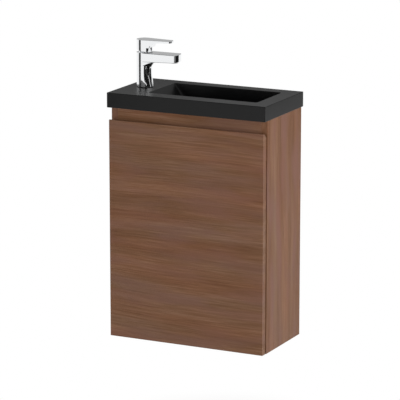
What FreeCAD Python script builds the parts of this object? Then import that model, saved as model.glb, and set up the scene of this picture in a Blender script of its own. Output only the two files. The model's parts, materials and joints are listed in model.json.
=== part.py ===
import FreeCAD
import Part
import math
import os

os.makedirs("parts", exist_ok=True)
V = FreeCAD.Vector
X_AXIS = V(1, 0, 0)
Y_AXIS = V(0, 1, 0)
Z_AXIS = V(0, 0, 1)

# Wall-hung cloakroom vanity unit. X runs to the right, Y towards the wall, Z up.
# The wall is the plane Y = 0 and the origin is the middle of the wall screws.

# Basin: a thin cast slab with a sunk bowl, and the tap deck on its left
BASIN_W = 400.0
BASIN_D = 210.0
BASIN_T = 35.0
BASIN_EDGE_R = 1.2
RIM_RIGHT = 39.0
RIM_FRONT = 40.0
RIM_BACK = 34.0
DECK_W = 86.0
DECK_T = 16.0
DECK_RIB = 14.0
DECK_POCKET_L = 104.0
DECK_POCKET_R = 8.0
BOWL_DEPTH = 76.0
BOWL_RAMP_DEG = 53.0
BOWL_DRAFT_DEG = 7.0
BOWL_CORNER_R = 6.0
BOWL_CORNER_GROWTH = 0.12
BOWL_FLOOR_R = 9.0
BOWL_WALL = 8.0
BOWL_LAP = 2.0

# Cabinet boards
BOARD_T = 16.0
BOARD_EDGE_R = 0.6
SIDE_SET = 2.5
DOOR_INSET = 2.0
DOOR_SET = 1.6
DOOR_GAP = 1.8
CARCASS_H = 543.0
BACK_GAP = 5.0
GRIP_GAP = 28.5
GRIP_BEVEL_LAND = 4.0
GRIP_BEVEL_DROP = 10.0
GRIP_RAIL_H = 66.0
REAR_RAIL_TOP_H = 112.0
REAR_RAIL_LOW_H = 80.0
SHELF_DROP = 322.0
SHELF_END_GAP = 0.8
SHELF_SET = 12.0
SHELF_PIN_IN = 32.0
SHELF_PIN_STEP = 32.0

# Wall hanging: a hook on each side drops behind the lip of its wall plate
HANG_DROP = 45.0
WALL_SCREW_SPAN = 292.0
WALL_SCREW_RISE = 26.0
WALL_SCREW_R = 2.75
PLATE_T = 2.0
PLATE_MARGIN = 9.0
PLATE_END = 14.0
PLATE_SIDE_GAP = 0.5
LIP_GAP = 3.0
LIP_W = 12.0
LIP_TOP = 4.0
LIP_H = 18.0
HOOK_T = 3.0
HOOK_H = 10.0
HOOK_DIP = 11.0
HOOK_TOE = 8.0
HOOK_R = 1.8
HANGER_T = 15.0
HANGER_L = 54.0
HANGER_CLEAR = 5.0
HANGER_TOP_GAP = 5.0
HANGER_ROOT = 16.0
HANGER_EDGE_R = 2.0
HANGER_PEG_R = 5.0
HANGER_PEG_LEN = 10.0
HANGER_PEG_IN = 11.0
HANGER_PEG_STEP = 32.0
HANGER_PEG_RISE = 7.0
NOTCH_DROP = 59.0
NOTCH_GAP = 3.0
NOTCH_FLOOR = 2.0
ADJUSTER_R = 3.4
ADJUSTER_LEN = 11.0
ADJUSTER_SUNK = 1.0
ADJUSTER_HIGH = 9.0
ADJUSTER_LOW = 8.0
CROSS_W = 1.0
CROSS_L = 5.2
CROSS_DEEP = 1.2

# Fits and fasteners
FIT = 0.05
SLACK = 0.3
PIN_R = 2.5
PIN_LEN = 16.0
CAM_R = 7.5
CAM_H = 12.4
CAM_INSET = 24.0
CAM_SLOT_R = 1.0
CAM_SLOT_L = 10.0
BOLT_R = 3.5
BOLT_END_GAP = 3.0
BOLT_THREAD_R = 2.5
BOLT_THREAD_LEN = 10.0
DOWEL_R = 4.0
DOWEL_LEN = 28.0
BUMPER_R = 4.0
BUMPER_IN = 40.0
SCREW_R = 1.9
RECESS_R = 0.9
RECESS_DEEP = 1.4

# Door hinges: one pin each, in a cup let into the door, on an arm that reaches in from the side panel
HINGE_AXIS_IN = 5.6
HINGE_AXIS_DEEP = 10.5
HINGE_END_IN = 90.0
HINGE_PIN_R = 1.25
HINGE_EYE_WALL = 0.65
HINGE_ARM_W = 9.0
HINGE_ARM_T = 4.0
HINGE_NECK_T = 2.2
HINGE_NECK_RISE = 0.6
HINGE_SWEEP_GAP = 0.6
HINGE_BEND_R = 3.2
HINGE_THROAT_R = 1.4
HINGE_PLATE_IN = 20.0
HINGE_ARM_BACK = 62.0
HINGE_WING_T = 2.0
HINGE_WING_W = 16.0
HINGE_WING_H = 48.0
HINGE_WING_R = 5.0
PLATE_SCREW_IN = 37.0
PLATE_SCREW_RISE = 16.0
PLATE_SCREW_HEAD_R = 3.4
PLATE_SCREW_LEN = 13.0
ARM_SCREW_HEAD_R = 3.6
ARM_SCREW_HEAD_T = 1.8
ARM_SCREW_FOOT = 0.4
CUP_R = 17.45
CUP_TAB = 2.0
CUP_WALL = 0.85
CUP_FLOOR = 0.7
CUP_WING_T = 1.0
CUP_WING_OUT = 6.0
CUP_WING_IN = 13.0
CUP_WING_H = 62.0
CUP_WING_R = 5.0
CUP_SCREW_IN = 6.0
CUP_SCREW_RISE = 24.0
CUP_SCREW_HEAD_R = 3.0
CUP_SCREW_LEN = 12.0
SCREW_TIP_GAP = 0.5

# Tap
TAP_TOP_R = 19.1
TAP_BASE_FRONT = 21.0
TAP_WAIST_FRONT = 16.4
TAP_BODY_H = 81.0
TAP_HOLE_R = 17.5
TAP_SEAL_T = 1.5
TAP_SEAL_SET = 0.6
SPOUT_REACH = 88.5
SPOUT_W = 37.6
TAP_CHEEK = 0.05
SPOUT_ROOT_H = 21.0
SPOUT_TIP_H = 18.0
SPOUT_TIP_R = 4.0
SPOUT_END_R = 60.0
SPOUT_EDGE_R = 1.2
SPOUT_FLARE = 20.0
SPOUT_SWEEP_H = 18.0
WATERWAY_R = 4.0
WATERWAY_RISE = 5.5
AERATOR_R = 10.3
AERATOR_IN = 13.0
AERATOR_H = 10.0
AERATOR_PROUD = 1.6
AERATOR_WALL = 2.0
AERATOR_SEAT = 1.5
AERATOR_DISC_T = 3.0
AERATOR_GROOVE = 0.8
AERATOR_HOLE_R = 0.9
AERATOR_RING_STEP = 2.85
CARTRIDGE_R = 13.0
CARTRIDGE_H = 24.0
CARTRIDGE_NUT_WALL = 1.7
CARTRIDGE_NUT_H = 6.5
CARTRIDGE_NUT_DEEP = 0.5
CARTRIDGE_PORT_R = 3.0
CARTRIDGE_PORT_DEEP = 7.0
CARTRIDGE_PORT_OUT = 7.5
NUT_NOTCH_W = 3.0
NUT_NOTCH_DEEP = 2.5
ROTOR_POCKET = 2.6
ROTOR_SET = 0.8
ROTOR_NECK_R = 7.0
ROTOR_RUN = 0.1
ROTOR_TOP = 3.0
STEM_R = 3.9
STEM_WELL_R = 4.2
STEM_WELL_DEEP = 8.0
SOCKET_HALF = 4.0
SOCKET_DEEP = 8.5
LIFT_PIVOT = 3.0
LIFT_PIN_R = 1.3
LEVER_LIFT_DEG = 22.0
LEVER_H = 30.5
LEVER_REACH = 71.6
LEVER_TIP_W = 22.0
LEVER_TIP_T = 4.5
LEVER_TIP_R = 8.5
LEVER_ROOT_T = 18.5
LEVER_KNEE_T = 11.0
LEVER_KNEE = 4.5
LEVER_EDGE_R = 0.8
LEVER_GAP = 1.3
LEVER_TAIL_TRIM = 0.7
LEVER_ROOF_T = 14.5
HUB_SET = 0.3
HUB_WALL = 2.6
COLLAR_LIP = 0.8
COLLAR_H = 5.4
GRUB_R = 2.5
GRUB_LEN = 8.0
GRUB_RISE = 4.5
GRUB_KEY_R = 1.25
PLUG_R = 3.6
PLUG_DEEP = 4.0
PLUG_PROUD = 0.3
STUD_R = 4.0
STUD_LEN = 82.0
STUD_BACK = 9.5
STUD_END_GAP = 1.0
INLET_R = 5.0
INLET_LEN = 14.0
INLET_X = 5.5
INLET_Y = 7.5
CLAMP_T = 3.0
CLAMP_L = 48.0
CLAMP_BACK = 23.0
CLAMP_FRONT = 22.0
CLAMP_R = 9.0
CLAMP_SLOT_BACK = 2.5
CLAMP_SLOT_W = 29.0
CLAMP_SLOT_R = 5.0
FIX_NUT_R = 7.5
FIX_NUT_T = 8.0

# Waste
WASTE_HOLE_R = 22.5
WASTE_FLANGE_R = 32.0
WASTE_FLANGE_T = 2.5
WASTE_FLANGE_EDGE = 0.9
WASTE_BEVEL = 4.0
WASTE_DISH = 3.0
WASTE_PROUD = 1.0
WASTE_TAIL_R = 20.5
WASTE_TAIL_LEN = 72.0
WASTE_BORE_R = 17.0
STRAINER_HALF_T = 1.0
STRAINER_SLOTS = 10
STRAINER_SLOT_R = 1.6
STRAINER_SLOT_IN = 6.5
STRAINER_RIM = 3.0
WASTE_SEAL_T = 1.5
WASTE_SEAL_SET = 1.0
LOW_SEAL_T = 4.0
LOW_SEAL_TAPER = 2.0
WASTE_NUT_R = 29.0
WASTE_NUT_T = 9.0

# Bottle trap
PIPE_R = 16.0
PIPE_WALL = 1.5
SPIGOT_R = 15.6
SPIGOT_IN = 20.0
DIP_COLLAR_T = 3.0
DIP_IN_CUP = 24.0
UNION_R = 27.0
UNION_H = 20.0
UNION_CHAMFER = 1.5
UNION_LIP = 4.0
UNION_RIBS = 12
UNION_RIB_R = 1.6
HEAD_GAP = 40.0
HEAD_H = 56.0
NECK_R = 21.0
NECK_H = 12.0
SHOULDER_H = 7.0
TRAP_R = 31.0
TRAP_WALL = 2.6
NECK_NUT_R = 26.0
NECK_NUT_H = 11.5
NUT_CAP_T = 3.0
NUT_CHAMFER = 1.5
NUT_LOBES = 8
NUT_LOBE_R = 3.0
NUT_LOBE_OUT = 1.6
OUTLET_DROP = 34.0
OUTLET_BOSS_R = 20.5
OUTLET_BOSS_LEN = 26.0
OUTLET_NUT_R = 25.5
OUTLET_NUT_H = 14.0
OUTLET_STEP = 4.0
CUP_SEAL_T = 2.0
TRAP_CUP_H = 62.0
TRAP_GRIP_H = 18.0
TRAP_GRIP_PROUD = 2.0
TRAP_GRIP_RIBS = 16
TRAP_RIB_R = 1.5
TRAP_TOE_H = 14.0
TRAP_TOE_R = 14.0

# Planes and levels worked out from the values above
CARCASS_W = BASIN_W - 2 * SIDE_SET
DOOR_W = CARCASS_W - 2 * DOOR_INSET
CARCASS_TOP = HANG_DROP
BASE = CARCASS_TOP - CARCASS_H
DECK = CARCASS_TOP + BASIN_T
CARCASS_BACK = -BACK_GAP
DOOR_FRONT = -(BASIN_D - DOOR_SET)
DOOR_BACK = DOOR_FRONT + BOARD_T
CARCASS_FRONT = DOOR_BACK + DOOR_GAP
SIDE_OUT = CARCASS_W / 2
SIDE_IN = SIDE_OUT - BOARD_T
DOOR_TOP = CARCASS_TOP - GRIP_GAP
BOWL_FLOOR = DECK - BOWL_DEPTH
BOWL_UNDER = BOWL_FLOOR - BOWL_WALL
RAMP_RUN = BOWL_DEPTH / math.tan(math.radians(BOWL_RAMP_DEG))
TAP_X = -BASIN_W / 2 + DECK_W / 2
TAP_Y = (-BASIN_D + RIM_FRONT - RIM_BACK) / 2
WASTE_X = (-BASIN_W / 2 + DECK_W + RAMP_RUN + BASIN_W / 2 - RIM_RIGHT) / 2
WASTE_Y = TAP_Y
WASTE_SEAT = BOWL_FLOOR + WASTE_PROUD - WASTE_FLANGE_T - WASTE_SEAL_T


def box(x0, x1, y0, y1, z0, z1):
    return Part.makeBox(x1 - x0, y1 - y0, z1 - z0, V(x0, y0, z0))


def rod(r, start, axis, length):
    return Part.makeCylinder(r, length, start, axis)


def tube(r_out, r_in, start, axis, length):
    return rod(r_out, start, axis, length).cut(rod(r_in, start, axis, length))


def join(shapes):
    return shapes[0].multiFuse(shapes[1:]).removeSplitter()


def cut_all(shape, cutters):
    return shape.cut(cutters[0].multiFuse(cutters[1:]))


def mirrored(shape):
    return shape.mirror(V(0, 0, 0), X_AXIS)


def edges_where(shape, test):
    return [e for e in shape.Edges if test(e.BoundBox)]


def at_level(level):
    return lambda b: abs(b.ZMin - level) < 0.01 and abs(b.ZMax - level) < 0.01


def face_of(points):
    return Part.Face(Part.makePolygon(points + points[:1]))


def turned(profile, x, y, z):
    """Solid of revolution of a closed (radius, height) outline about the upright axis through (x, y)."""
    face = face_of([V(x + r, y, z + h) for r, h in profile])
    return face.revolve(V(x, y, z), Z_AXIS, 360)


def curve_through(points):
    spline = Part.BSplineCurve()
    spline.interpolate(points)
    return spline.toShape()


def turned_under(curve, first, last):
    """Solid between an upright axis and a curve that runs from height first up to height last."""
    foot = V(0, 0, first.z)
    head = V(0, 0, last.z)
    wire = Part.Wire([Part.makeLine(foot, first), curve, Part.makeLine(last, head), Part.makeLine(head, foot)])
    return Part.Face(wire).revolve(V(0, 0, 0), Z_AXIS, 360)


def rounded_rect(x0, x1, y0, y1, r, z):
    """Closed wire of a level rectangle with round corners."""
    corners = ((x1 - r, y0 + r, -90), (x1 - r, y1 - r, 0), (x0 + r, y1 - r, 90), (x0 + r, y0 + r, 180))
    arcs = []
    for cx, cy, start in corners:
        angles = [math.radians(start + t) for t in (0, 45, 90)]
        arcs.append([V(cx + r * math.cos(a), cy + r * math.sin(a), z) for a in angles])
    edges = []
    for here, after in zip(arcs, arcs[1:] + arcs[:1]):
        edges.append(Part.Arc(*here).toShape())
        edges.append(Part.makeLine(here[2], after[0]))
    return Part.Wire(edges)


def ring_of(count, r, x, y):
    """Centres of count places evenly round a circle."""
    return [(x + r * math.cos(2 * math.pi * k / count), y + r * math.sin(2 * math.pi * k / count))
            for k in range(count)]


def export(name, *shapes):
    shape = shapes[0] if len(shapes) == 1 else Part.makeCompound(list(shapes))
    shape.exportStep("parts/" + name + ".step")


# Basin. The bowl narrows with depth: three walls have a slight draft, the left one is a plain ramp by the tap.
def bowl_outline(depth, grow):
    draft = depth * math.tan(math.radians(BOWL_DRAFT_DEG))
    ramp = depth / math.tan(math.radians(BOWL_RAMP_DEG))
    x0 = -BASIN_W / 2 + DECK_W + ramp - grow / math.sin(math.radians(BOWL_RAMP_DEG))
    x1 = BASIN_W / 2 - RIM_RIGHT - draft + grow
    y0 = -BASIN_D + RIM_FRONT + draft - grow
    y1 = -RIM_BACK - draft + grow
    corner = BOWL_CORNER_R + BOWL_CORNER_GROWTH * depth + grow
    return rounded_rect(x0, x1, y0, y1, corner, DECK - depth)


slab = box(-BASIN_W / 2, BASIN_W / 2, -BASIN_D, 0, CARCASS_TOP, DECK)
slab = slab.makeFillet(BASIN_EDGE_R, slab.Edges)
shell_ends = [bowl_outline(BASIN_T - BOWL_LAP, BOWL_WALL), bowl_outline(BOWL_DEPTH + BOWL_WALL, BOWL_WALL)]
shell = Part.makeLoft(shell_ends, True, True)
shell = shell.makeFillet(BOWL_FLOOR_R, edges_where(shell, at_level(BOWL_UNDER)))
hollow = Part.makeLoft([bowl_outline(0, 0), bowl_outline(BOWL_DEPTH, 0)], True, True)
hollow = hollow.makeFillet(BOWL_FLOOR_R, edges_where(hollow, at_level(BOWL_FLOOR)))
mouth = Part.Face(bowl_outline(0, 0)).extrude(V(0, 0, BASIN_EDGE_R))
pocket = Part.Face(rounded_rect(TAP_X - DECK_W / 2 + DECK_RIB, TAP_X + DECK_W / 2 - DECK_RIB,
                                TAP_Y - DECK_POCKET_L / 2, TAP_Y + DECK_POCKET_L / 2, DECK_POCKET_R, CARCASS_TOP))
basin = join([slab, shell]).cut(hollow).cut(mouth).cut(pocket.extrude(V(0, 0, BASIN_T - DECK_T)))
inside = BASIN_W / 2 - 2 * BASIN_EDGE_R
rim = [e for e in edges_where(basin, at_level(DECK)) if abs(e.BoundBox.XMin) < inside
       and abs(e.BoundBox.XMax) < inside and e.BoundBox.YMax < -2 * BASIN_EDGE_R
       and e.BoundBox.YMin > -BASIN_D + 2 * BASIN_EDGE_R]
basin = basin.makeFillet(BASIN_EDGE_R, rim)
basin = basin.cut(rod(TAP_HOLE_R, V(TAP_X, TAP_Y, CARCASS_TOP), Z_AXIS, BASIN_T))
basin = basin.cut(rod(WASTE_HOLE_R, V(WASTE_X, WASTE_Y, BOWL_UNDER - BOWL_WALL), Z_AXIS, 2 * BOWL_WALL))
basin = basin.cut(rod(WASTE_FLANGE_R + SLACK, V(WASTE_X, WASTE_Y, WASTE_SEAT), Z_AXIS, BOWL_WALL))
export("basin", basin)

# Open strainer waste: slotted flange and threaded tail, sealed above and below the bowl floor
flange_under = WASTE_SEAT + WASTE_SEAL_T
flange_top = flange_under + WASTE_FLANGE_T
tail_end = flange_under - WASTE_TAIL_LEN
strainer_under = flange_under - STRAINER_HALF_T
strainer_top = flange_under + STRAINER_HALF_T
tail = turned([(0, flange_under), (WASTE_TAIL_R, flange_under), (WASTE_TAIL_R, tail_end),
               (WASTE_BORE_R, tail_end), (WASTE_BORE_R, strainer_under), (0, strainer_under)],
              WASTE_X, WASTE_Y, 0)
flange = turned([(0, flange_under), (WASTE_FLANGE_R, flange_under),
                 (WASTE_FLANGE_R, flange_under + WASTE_FLANGE_EDGE), (WASTE_FLANGE_R - WASTE_BEVEL, flange_top),
                 (WASTE_BORE_R + WASTE_DISH, flange_top), (WASTE_BORE_R, strainer_top), (0, strainer_top)],
                WASTE_X, WASTE_Y, 0)
slots = []
slot_end = WASTE_BORE_R - STRAINER_RIM
slot_foot = strainer_under - STRAINER_HALF_T
slot_h = 4 * STRAINER_HALF_T
for k in range(STRAINER_SLOTS):
    slot = join([box(STRAINER_SLOT_IN, slot_end, -STRAINER_SLOT_R, STRAINER_SLOT_R,
                     slot_foot, slot_foot + slot_h),
                 rod(STRAINER_SLOT_R, V(STRAINER_SLOT_IN, 0, slot_foot), Z_AXIS, slot_h),
                 rod(STRAINER_SLOT_R, V(slot_end, 0, slot_foot), Z_AXIS, slot_h)])
    slot.rotate(V(0, 0, 0), Z_AXIS, 360 / STRAINER_SLOTS * k)
    slot.translate(V(WASTE_X, WASTE_Y, 0))
    slots.append(slot)
export("waste_strainer", cut_all(join([tail, flange]), slots))
seal_r = WASTE_FLANGE_R - WASTE_SEAL_SET
seal_bore = WASTE_TAIL_R + SLACK
export("waste_upper_seal", tube(seal_r, seal_bore, V(WASTE_X, WASTE_Y, WASTE_SEAT), Z_AXIS, WASTE_SEAL_T))
low_seal = turned([(seal_bore, 0), (seal_r, 0), (seal_r - LOW_SEAL_TAPER, -LOW_SEAL_T),
                   (seal_bore, -LOW_SEAL_T)], WASTE_X, WASTE_Y, BOWL_UNDER)
export("waste_lower_seal", low_seal)


def lobed_nut(r, bore, x, y, z, height):
    """Hand nut: a short turned ring with finger scallops round its rim."""
    inner = r - NUT_CHAMFER
    nut = turned([(bore, 0), (inner, 0), (r, NUT_CHAMFER), (r, height - NUT_CHAMFER), (inner, height),
                  (bore, height)], x, y, z)
    return cut_all(nut, [rod(NUT_LOBE_R, V(cx, cy, z), Z_AXIS, height)
                         for cx, cy in ring_of(NUT_LOBES, r + NUT_LOBE_OUT, x, y)])


def capped_nut(r, bore, x, y, z, height):
    """Hand nut with a lip that closes its far end round the pipe."""
    cap = tube(r - NUT_CHAMFER, PIPE_R + SLACK, V(x, y, z + height), Z_AXIS, NUT_CAP_T)
    return join([lobed_nut(r, bore, x, y, z, height), cap])


waste_nut_under = BOWL_UNDER - LOW_SEAL_T - WASTE_NUT_T
export("waste_back_nut", lobed_nut(WASTE_NUT_R, seal_bore, WASTE_X, WASTE_Y, waste_nut_under, WASTE_NUT_T))

# Bottle trap: dip tube hung from the tail, head with the side outlet, screwed cup below
union_under = tail_end - DIP_COLLAR_T - UNION_LIP
union_inner = UNION_R - UNION_CHAMFER
union = turned([(PIPE_R + SLACK, 0), (union_inner, 0), (UNION_R, UNION_CHAMFER),
                (UNION_R, UNION_H - UNION_CHAMFER), (union_inner, UNION_H), (seal_bore, UNION_H),
                (seal_bore, UNION_LIP), (PIPE_R + SLACK, UNION_LIP)], WASTE_X, WASTE_Y, union_under)
union = cut_all(union, [rod(UNION_RIB_R, V(cx, cy, union_under), Z_AXIS, UNION_H)
                        for cx, cy in ring_of(UNION_RIBS, UNION_R + UNION_RIB_R / 2, WASTE_X, WASTE_Y)])
export("trap_union_nut", union)
pipe_bore = PIPE_R - PIPE_WALL
dip_len = HEAD_GAP + HEAD_H + DIP_IN_CUP
dip = turned([(pipe_bore, 0), (WASTE_TAIL_R, 0), (WASTE_TAIL_R, -DIP_COLLAR_T), (PIPE_R, -DIP_COLLAR_T),
              (PIPE_R, -dip_len), (pipe_bore, -dip_len)], WASTE_X, WASTE_Y, tail_end)
export("trap_dip_tube", dip)

head_top = tail_end - HEAD_GAP
head_under = head_top - HEAD_H
outlet_z = head_top - OUTLET_DROP
trap_bore = TRAP_R - TRAP_WALL
roof = NECK_H + 1.5 * TRAP_WALL
shoulder_low = NECK_H + SHOULDER_H
ceiling = shoulder_low + TRAP_WALL / 2
head = turned([(PIPE_R + SLACK, 0), (NECK_R, 0), (NECK_R, -NECK_H), (trap_bore, -NECK_H - TRAP_WALL),
               (TRAP_R, -shoulder_low), (TRAP_R, -HEAD_H), (trap_bore, -HEAD_H), (trap_bore, -ceiling),
               (NECK_R - 1, -roof), (PIPE_R + SLACK, -roof)], WASTE_X, WASTE_Y, head_top)
boss_start = WASTE_Y + PIPE_R + SHOULDER_H
outlet_end = WASTE_Y + TRAP_R + OUTLET_BOSS_LEN
boss = rod(OUTLET_BOSS_R, V(WASTE_X, boss_start, outlet_z), Y_AXIS, outlet_end - boss_start)
cavity = rod(trap_bore, V(WASTE_X, WASTE_Y, head_under), Z_AXIS, HEAD_H - ceiling)
head = join([head, boss.cut(cavity)])
bore_start = WASTE_Y + PIPE_R + PIPE_WALL
head = head.cut(rod(pipe_bore, V(WASTE_X, bore_start, outlet_z), Y_AXIS, outlet_end - bore_start))
pipe_start = outlet_end - SPIGOT_IN
head = head.cut(rod(SPIGOT_R + FIT, V(WASTE_X, pipe_start, outlet_z), Y_AXIS, 2 * SPIGOT_IN))
export("trap_head", head)
neck_nut_under = head_top - NECK_NUT_H
export("trap_neck_nut", capped_nut(NECK_NUT_R, NECK_R + SLACK, WASTE_X, WASTE_Y, neck_nut_under, NECK_NUT_H))
cup_top = head_under - CUP_SEAL_T
export("trap_cup_seal", tube(TRAP_R, trap_bore, V(WASTE_X, WASTE_Y, cup_top), Z_AXIS, CUP_SEAL_T))
grip_r = TRAP_R + TRAP_GRIP_PROUD
grip_bevel = 1.5 * TRAP_GRIP_PROUD
toe_r = TRAP_R - TRAP_TOE_R
cup = turned([(trap_bore, 0), (TRAP_R, 0), (grip_r, -grip_bevel), (grip_r, -TRAP_GRIP_H + grip_bevel),
              (TRAP_R, -TRAP_GRIP_H), (TRAP_R, -TRAP_CUP_H + TRAP_TOE_H), (toe_r + TRAP_WALL, -TRAP_CUP_H),
              (0, -TRAP_CUP_H), (0, -TRAP_CUP_H + TRAP_WALL), (toe_r, -TRAP_CUP_H + TRAP_WALL),
              (trap_bore, -TRAP_CUP_H + TRAP_TOE_H + TRAP_WALL)], WASTE_X, WASTE_Y, cup_top)
rib_foot = cup_top - TRAP_GRIP_H + grip_bevel
rib_h = TRAP_GRIP_H - 2 * grip_bevel
cup = cut_all(cup, [rod(TRAP_RIB_R, V(cx, cy, rib_foot), Z_AXIS, rib_h)
                    for cx, cy in ring_of(TRAP_GRIP_RIBS, grip_r + TRAP_RIB_R / 2, WASTE_X, WASTE_Y)])
export("trap_cup", cup)
free_start = outlet_end + OUTLET_STEP
outlet = join([rod(SPIGOT_R, V(WASTE_X, pipe_start, outlet_z), Y_AXIS, -pipe_start),
               rod(PIPE_R, V(WASTE_X, free_start, outlet_z), Y_AXIS, -free_start)])
export("trap_outlet_pipe", outlet.cut(rod(pipe_bore, V(WASTE_X, pipe_start, outlet_z), Y_AXIS, -pipe_start)))
outlet_nut = capped_nut(OUTLET_NUT_R, OUTLET_BOSS_R + SLACK, 0, 0, 0, OUTLET_NUT_H)
outlet_nut.rotate(V(0, 0, 0), X_AXIS, -90)
outlet_nut.translate(V(WASTE_X, outlet_end - OUTLET_NUT_H, outlet_z))
export("trap_outlet_nut", outlet_nut)


# Tap body: column with an upright back and a waisted front, flat spout, and the sweep that joins them below
def on_tap(shape):
    shape.translate(V(TAP_X, TAP_Y, DECK))
    return shape


spout_under = TAP_BODY_H - SPOUT_ROOT_H
spout_tip_under = TAP_BODY_H - SPOUT_TIP_H


def column_ring(front, z):
    """Level outline of the column: the back half keeps its radius, the front half reaches as far as front."""
    ring = []
    for k in range(24):
        across = math.cos(math.pi * k / 12)
        reach = front if across > 0 else TAP_TOP_R
        ring.append(V(reach * across, (SPOUT_W / 2 + TAP_CHEEK) * math.sin(math.pi * k / 12), z))
    outline = Part.BSplineCurve()
    outline.interpolate(ring, PeriodicFlag=True)
    return Part.Wire(outline.toShape())


swell = TAP_BASE_FRONT - TAP_WAIST_FRONT
column = Part.makeLoft([column_ring(TAP_BASE_FRONT, TAP_SEAL_T),
                        column_ring(TAP_BASE_FRONT - swell * 0.45, spout_under * 0.2),
                        column_ring(TAP_WAIST_FRONT + swell * 0.12, spout_under * 0.42),
                        column_ring(TAP_WAIST_FRONT, spout_under * 0.6),
                        column_ring(TAP_WAIST_FRONT + swell * 0.05, spout_under * 0.75),
                        column_ring(TAP_TOP_R, TAP_BODY_H - SPOUT_ROOT_H / 2),
                        column_ring(TAP_TOP_R, TAP_BODY_H)], True)
spout = face_of([V(0, -SPOUT_W / 2, TAP_BODY_H), V(SPOUT_REACH, -SPOUT_W / 2, TAP_BODY_H),
                 V(SPOUT_REACH, -SPOUT_W / 2, spout_tip_under), V(0, -SPOUT_W / 2, spout_under)])
spout = spout.extrude(V(0, SPOUT_W, 0))
spout = spout.common(rod(SPOUT_END_R, V(SPOUT_REACH - SPOUT_END_R, 0, 0), Z_AXIS, 2 * TAP_BODY_H))
spout = spout.makeFillet(SPOUT_TIP_R, edges_where(
    spout, lambda b: b.XMin > SPOUT_REACH - SPOUT_TIP_R and b.ZLength > SPOUT_TIP_H / 2))
spout = spout.makeFillet(SPOUT_EDGE_R, edges_where(
    spout, lambda b: b.XMax > SPOUT_REACH - SPOUT_TIP_R - 1 and b.ZLength < SPOUT_TIP_H - 1))
sweep = [V(TAP_WAIST_FRONT - 0.1, 0, spout_under - SPOUT_SWEEP_H),
         V(TAP_WAIST_FRONT + SPOUT_FLARE * 0.06, 0, spout_under - SPOUT_SWEEP_H * 0.6),
         V(TAP_WAIST_FRONT + SPOUT_FLARE * 0.34, 0, spout_under - SPOUT_SWEEP_H * 0.23),
         V(TAP_WAIST_FRONT + SPOUT_FLARE, 0, spout_under + 0.6)]
flare = turned_under(curve_through(sweep), sweep[0], sweep[-1])
flare = flare.common(box(0, SPOUT_REACH, -SPOUT_W / 2 + 0.2, SPOUT_W / 2 - 0.2, 0, TAP_BODY_H))
body = column.fuse(spout).fuse(flare)
nut_r = CARTRIDGE_R + CARTRIDGE_NUT_WALL
nut_foot = TAP_BODY_H - CARTRIDGE_NUT_DEEP - CARTRIDGE_NUT_H
cartridge_foot = nut_foot - CARTRIDGE_H
aerator_x = SPOUT_REACH - AERATOR_IN
aerator_face = spout_under + (spout_tip_under - spout_under) * aerator_x / SPOUT_REACH
aerator_low = aerator_face - AERATOR_PROUD
body = body.cut(rod(CARTRIDGE_R + FIT, V(0, 0, cartridge_foot), Z_AXIS, TAP_BODY_H))
body = body.cut(rod(nut_r + FIT, V(0, 0, nut_foot), Z_AXIS, TAP_BODY_H))
body = body.cut(rod(AERATOR_R + FIT, V(aerator_x, 0, aerator_low), Z_AXIS, AERATOR_H))
body = body.cut(rod(WATERWAY_R, V(0, 0, aerator_face + WATERWAY_RISE), X_AXIS, aerator_x))
for s in (-1, 1):
    body = body.cut(rod(INLET_R, V(INLET_X, s * INLET_Y, TAP_SEAL_T), Z_AXIS, INLET_LEN))
body = body.cut(rod(STUD_R + FIT, V(-STUD_BACK, 0, TAP_SEAL_T), Z_AXIS, INLET_LEN))
export("tap_body", on_tap(body))

# Tap fixing: seal on the deck, stud through it, horseshoe clamp and nut underneath
base_seal = tube(SPOUT_W / 2 - TAP_SEAL_SET, TAP_HOLE_R - TAP_SEAL_SET, V(0, 0, 0), Z_AXIS, TAP_SEAL_T)
export("tap_base_seal", on_tap(base_seal))
stud_top = TAP_SEAL_T + INLET_LEN - STUD_END_GAP
export("tap_stud", on_tap(rod(STUD_R, V(-STUD_BACK, 0, stud_top - STUD_LEN), Z_AXIS, STUD_LEN)))


def horseshoe(level):
    """Clamp washer with an open slot that lets the two supply tails pass."""
    plate = Part.Face(rounded_rect(-CLAMP_BACK, CLAMP_FRONT, -CLAMP_L / 2, CLAMP_L / 2, CLAMP_R, level))
    gap = Part.Face(rounded_rect(-CLAMP_SLOT_BACK, 2 * CLAMP_FRONT, -CLAMP_SLOT_W / 2, CLAMP_SLOT_W / 2,
                                 CLAMP_SLOT_R, level))
    thick = V(0, 0, CLAMP_T)
    stud_hole = rod(STUD_R + SLACK, V(-STUD_BACK, 0, level), Z_AXIS, CLAMP_T)
    return plate.extrude(thick).cut(gap.extrude(thick)).cut(stud_hole)


export("tap_clamp_rubber", on_tap(horseshoe(-DECK_T - CLAMP_T)))
export("tap_clamp_washer", on_tap(horseshoe(-DECK_T - 2 * CLAMP_T)))
fix_low = -DECK_T - 2 * CLAMP_T - FIX_NUT_T
fix_corners = [V(cx, cy, fix_low) for cx, cy in ring_of(6, FIX_NUT_R, -STUD_BACK, 0)]
fix_nut = face_of(fix_corners).extrude(V(0, 0, FIX_NUT_T))
export("tap_fixing_nut", on_tap(fix_nut.cut(rod(STUD_R + FIT, V(-STUD_BACK, 0, fix_low), Z_AXIS, FIX_NUT_T))))

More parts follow.
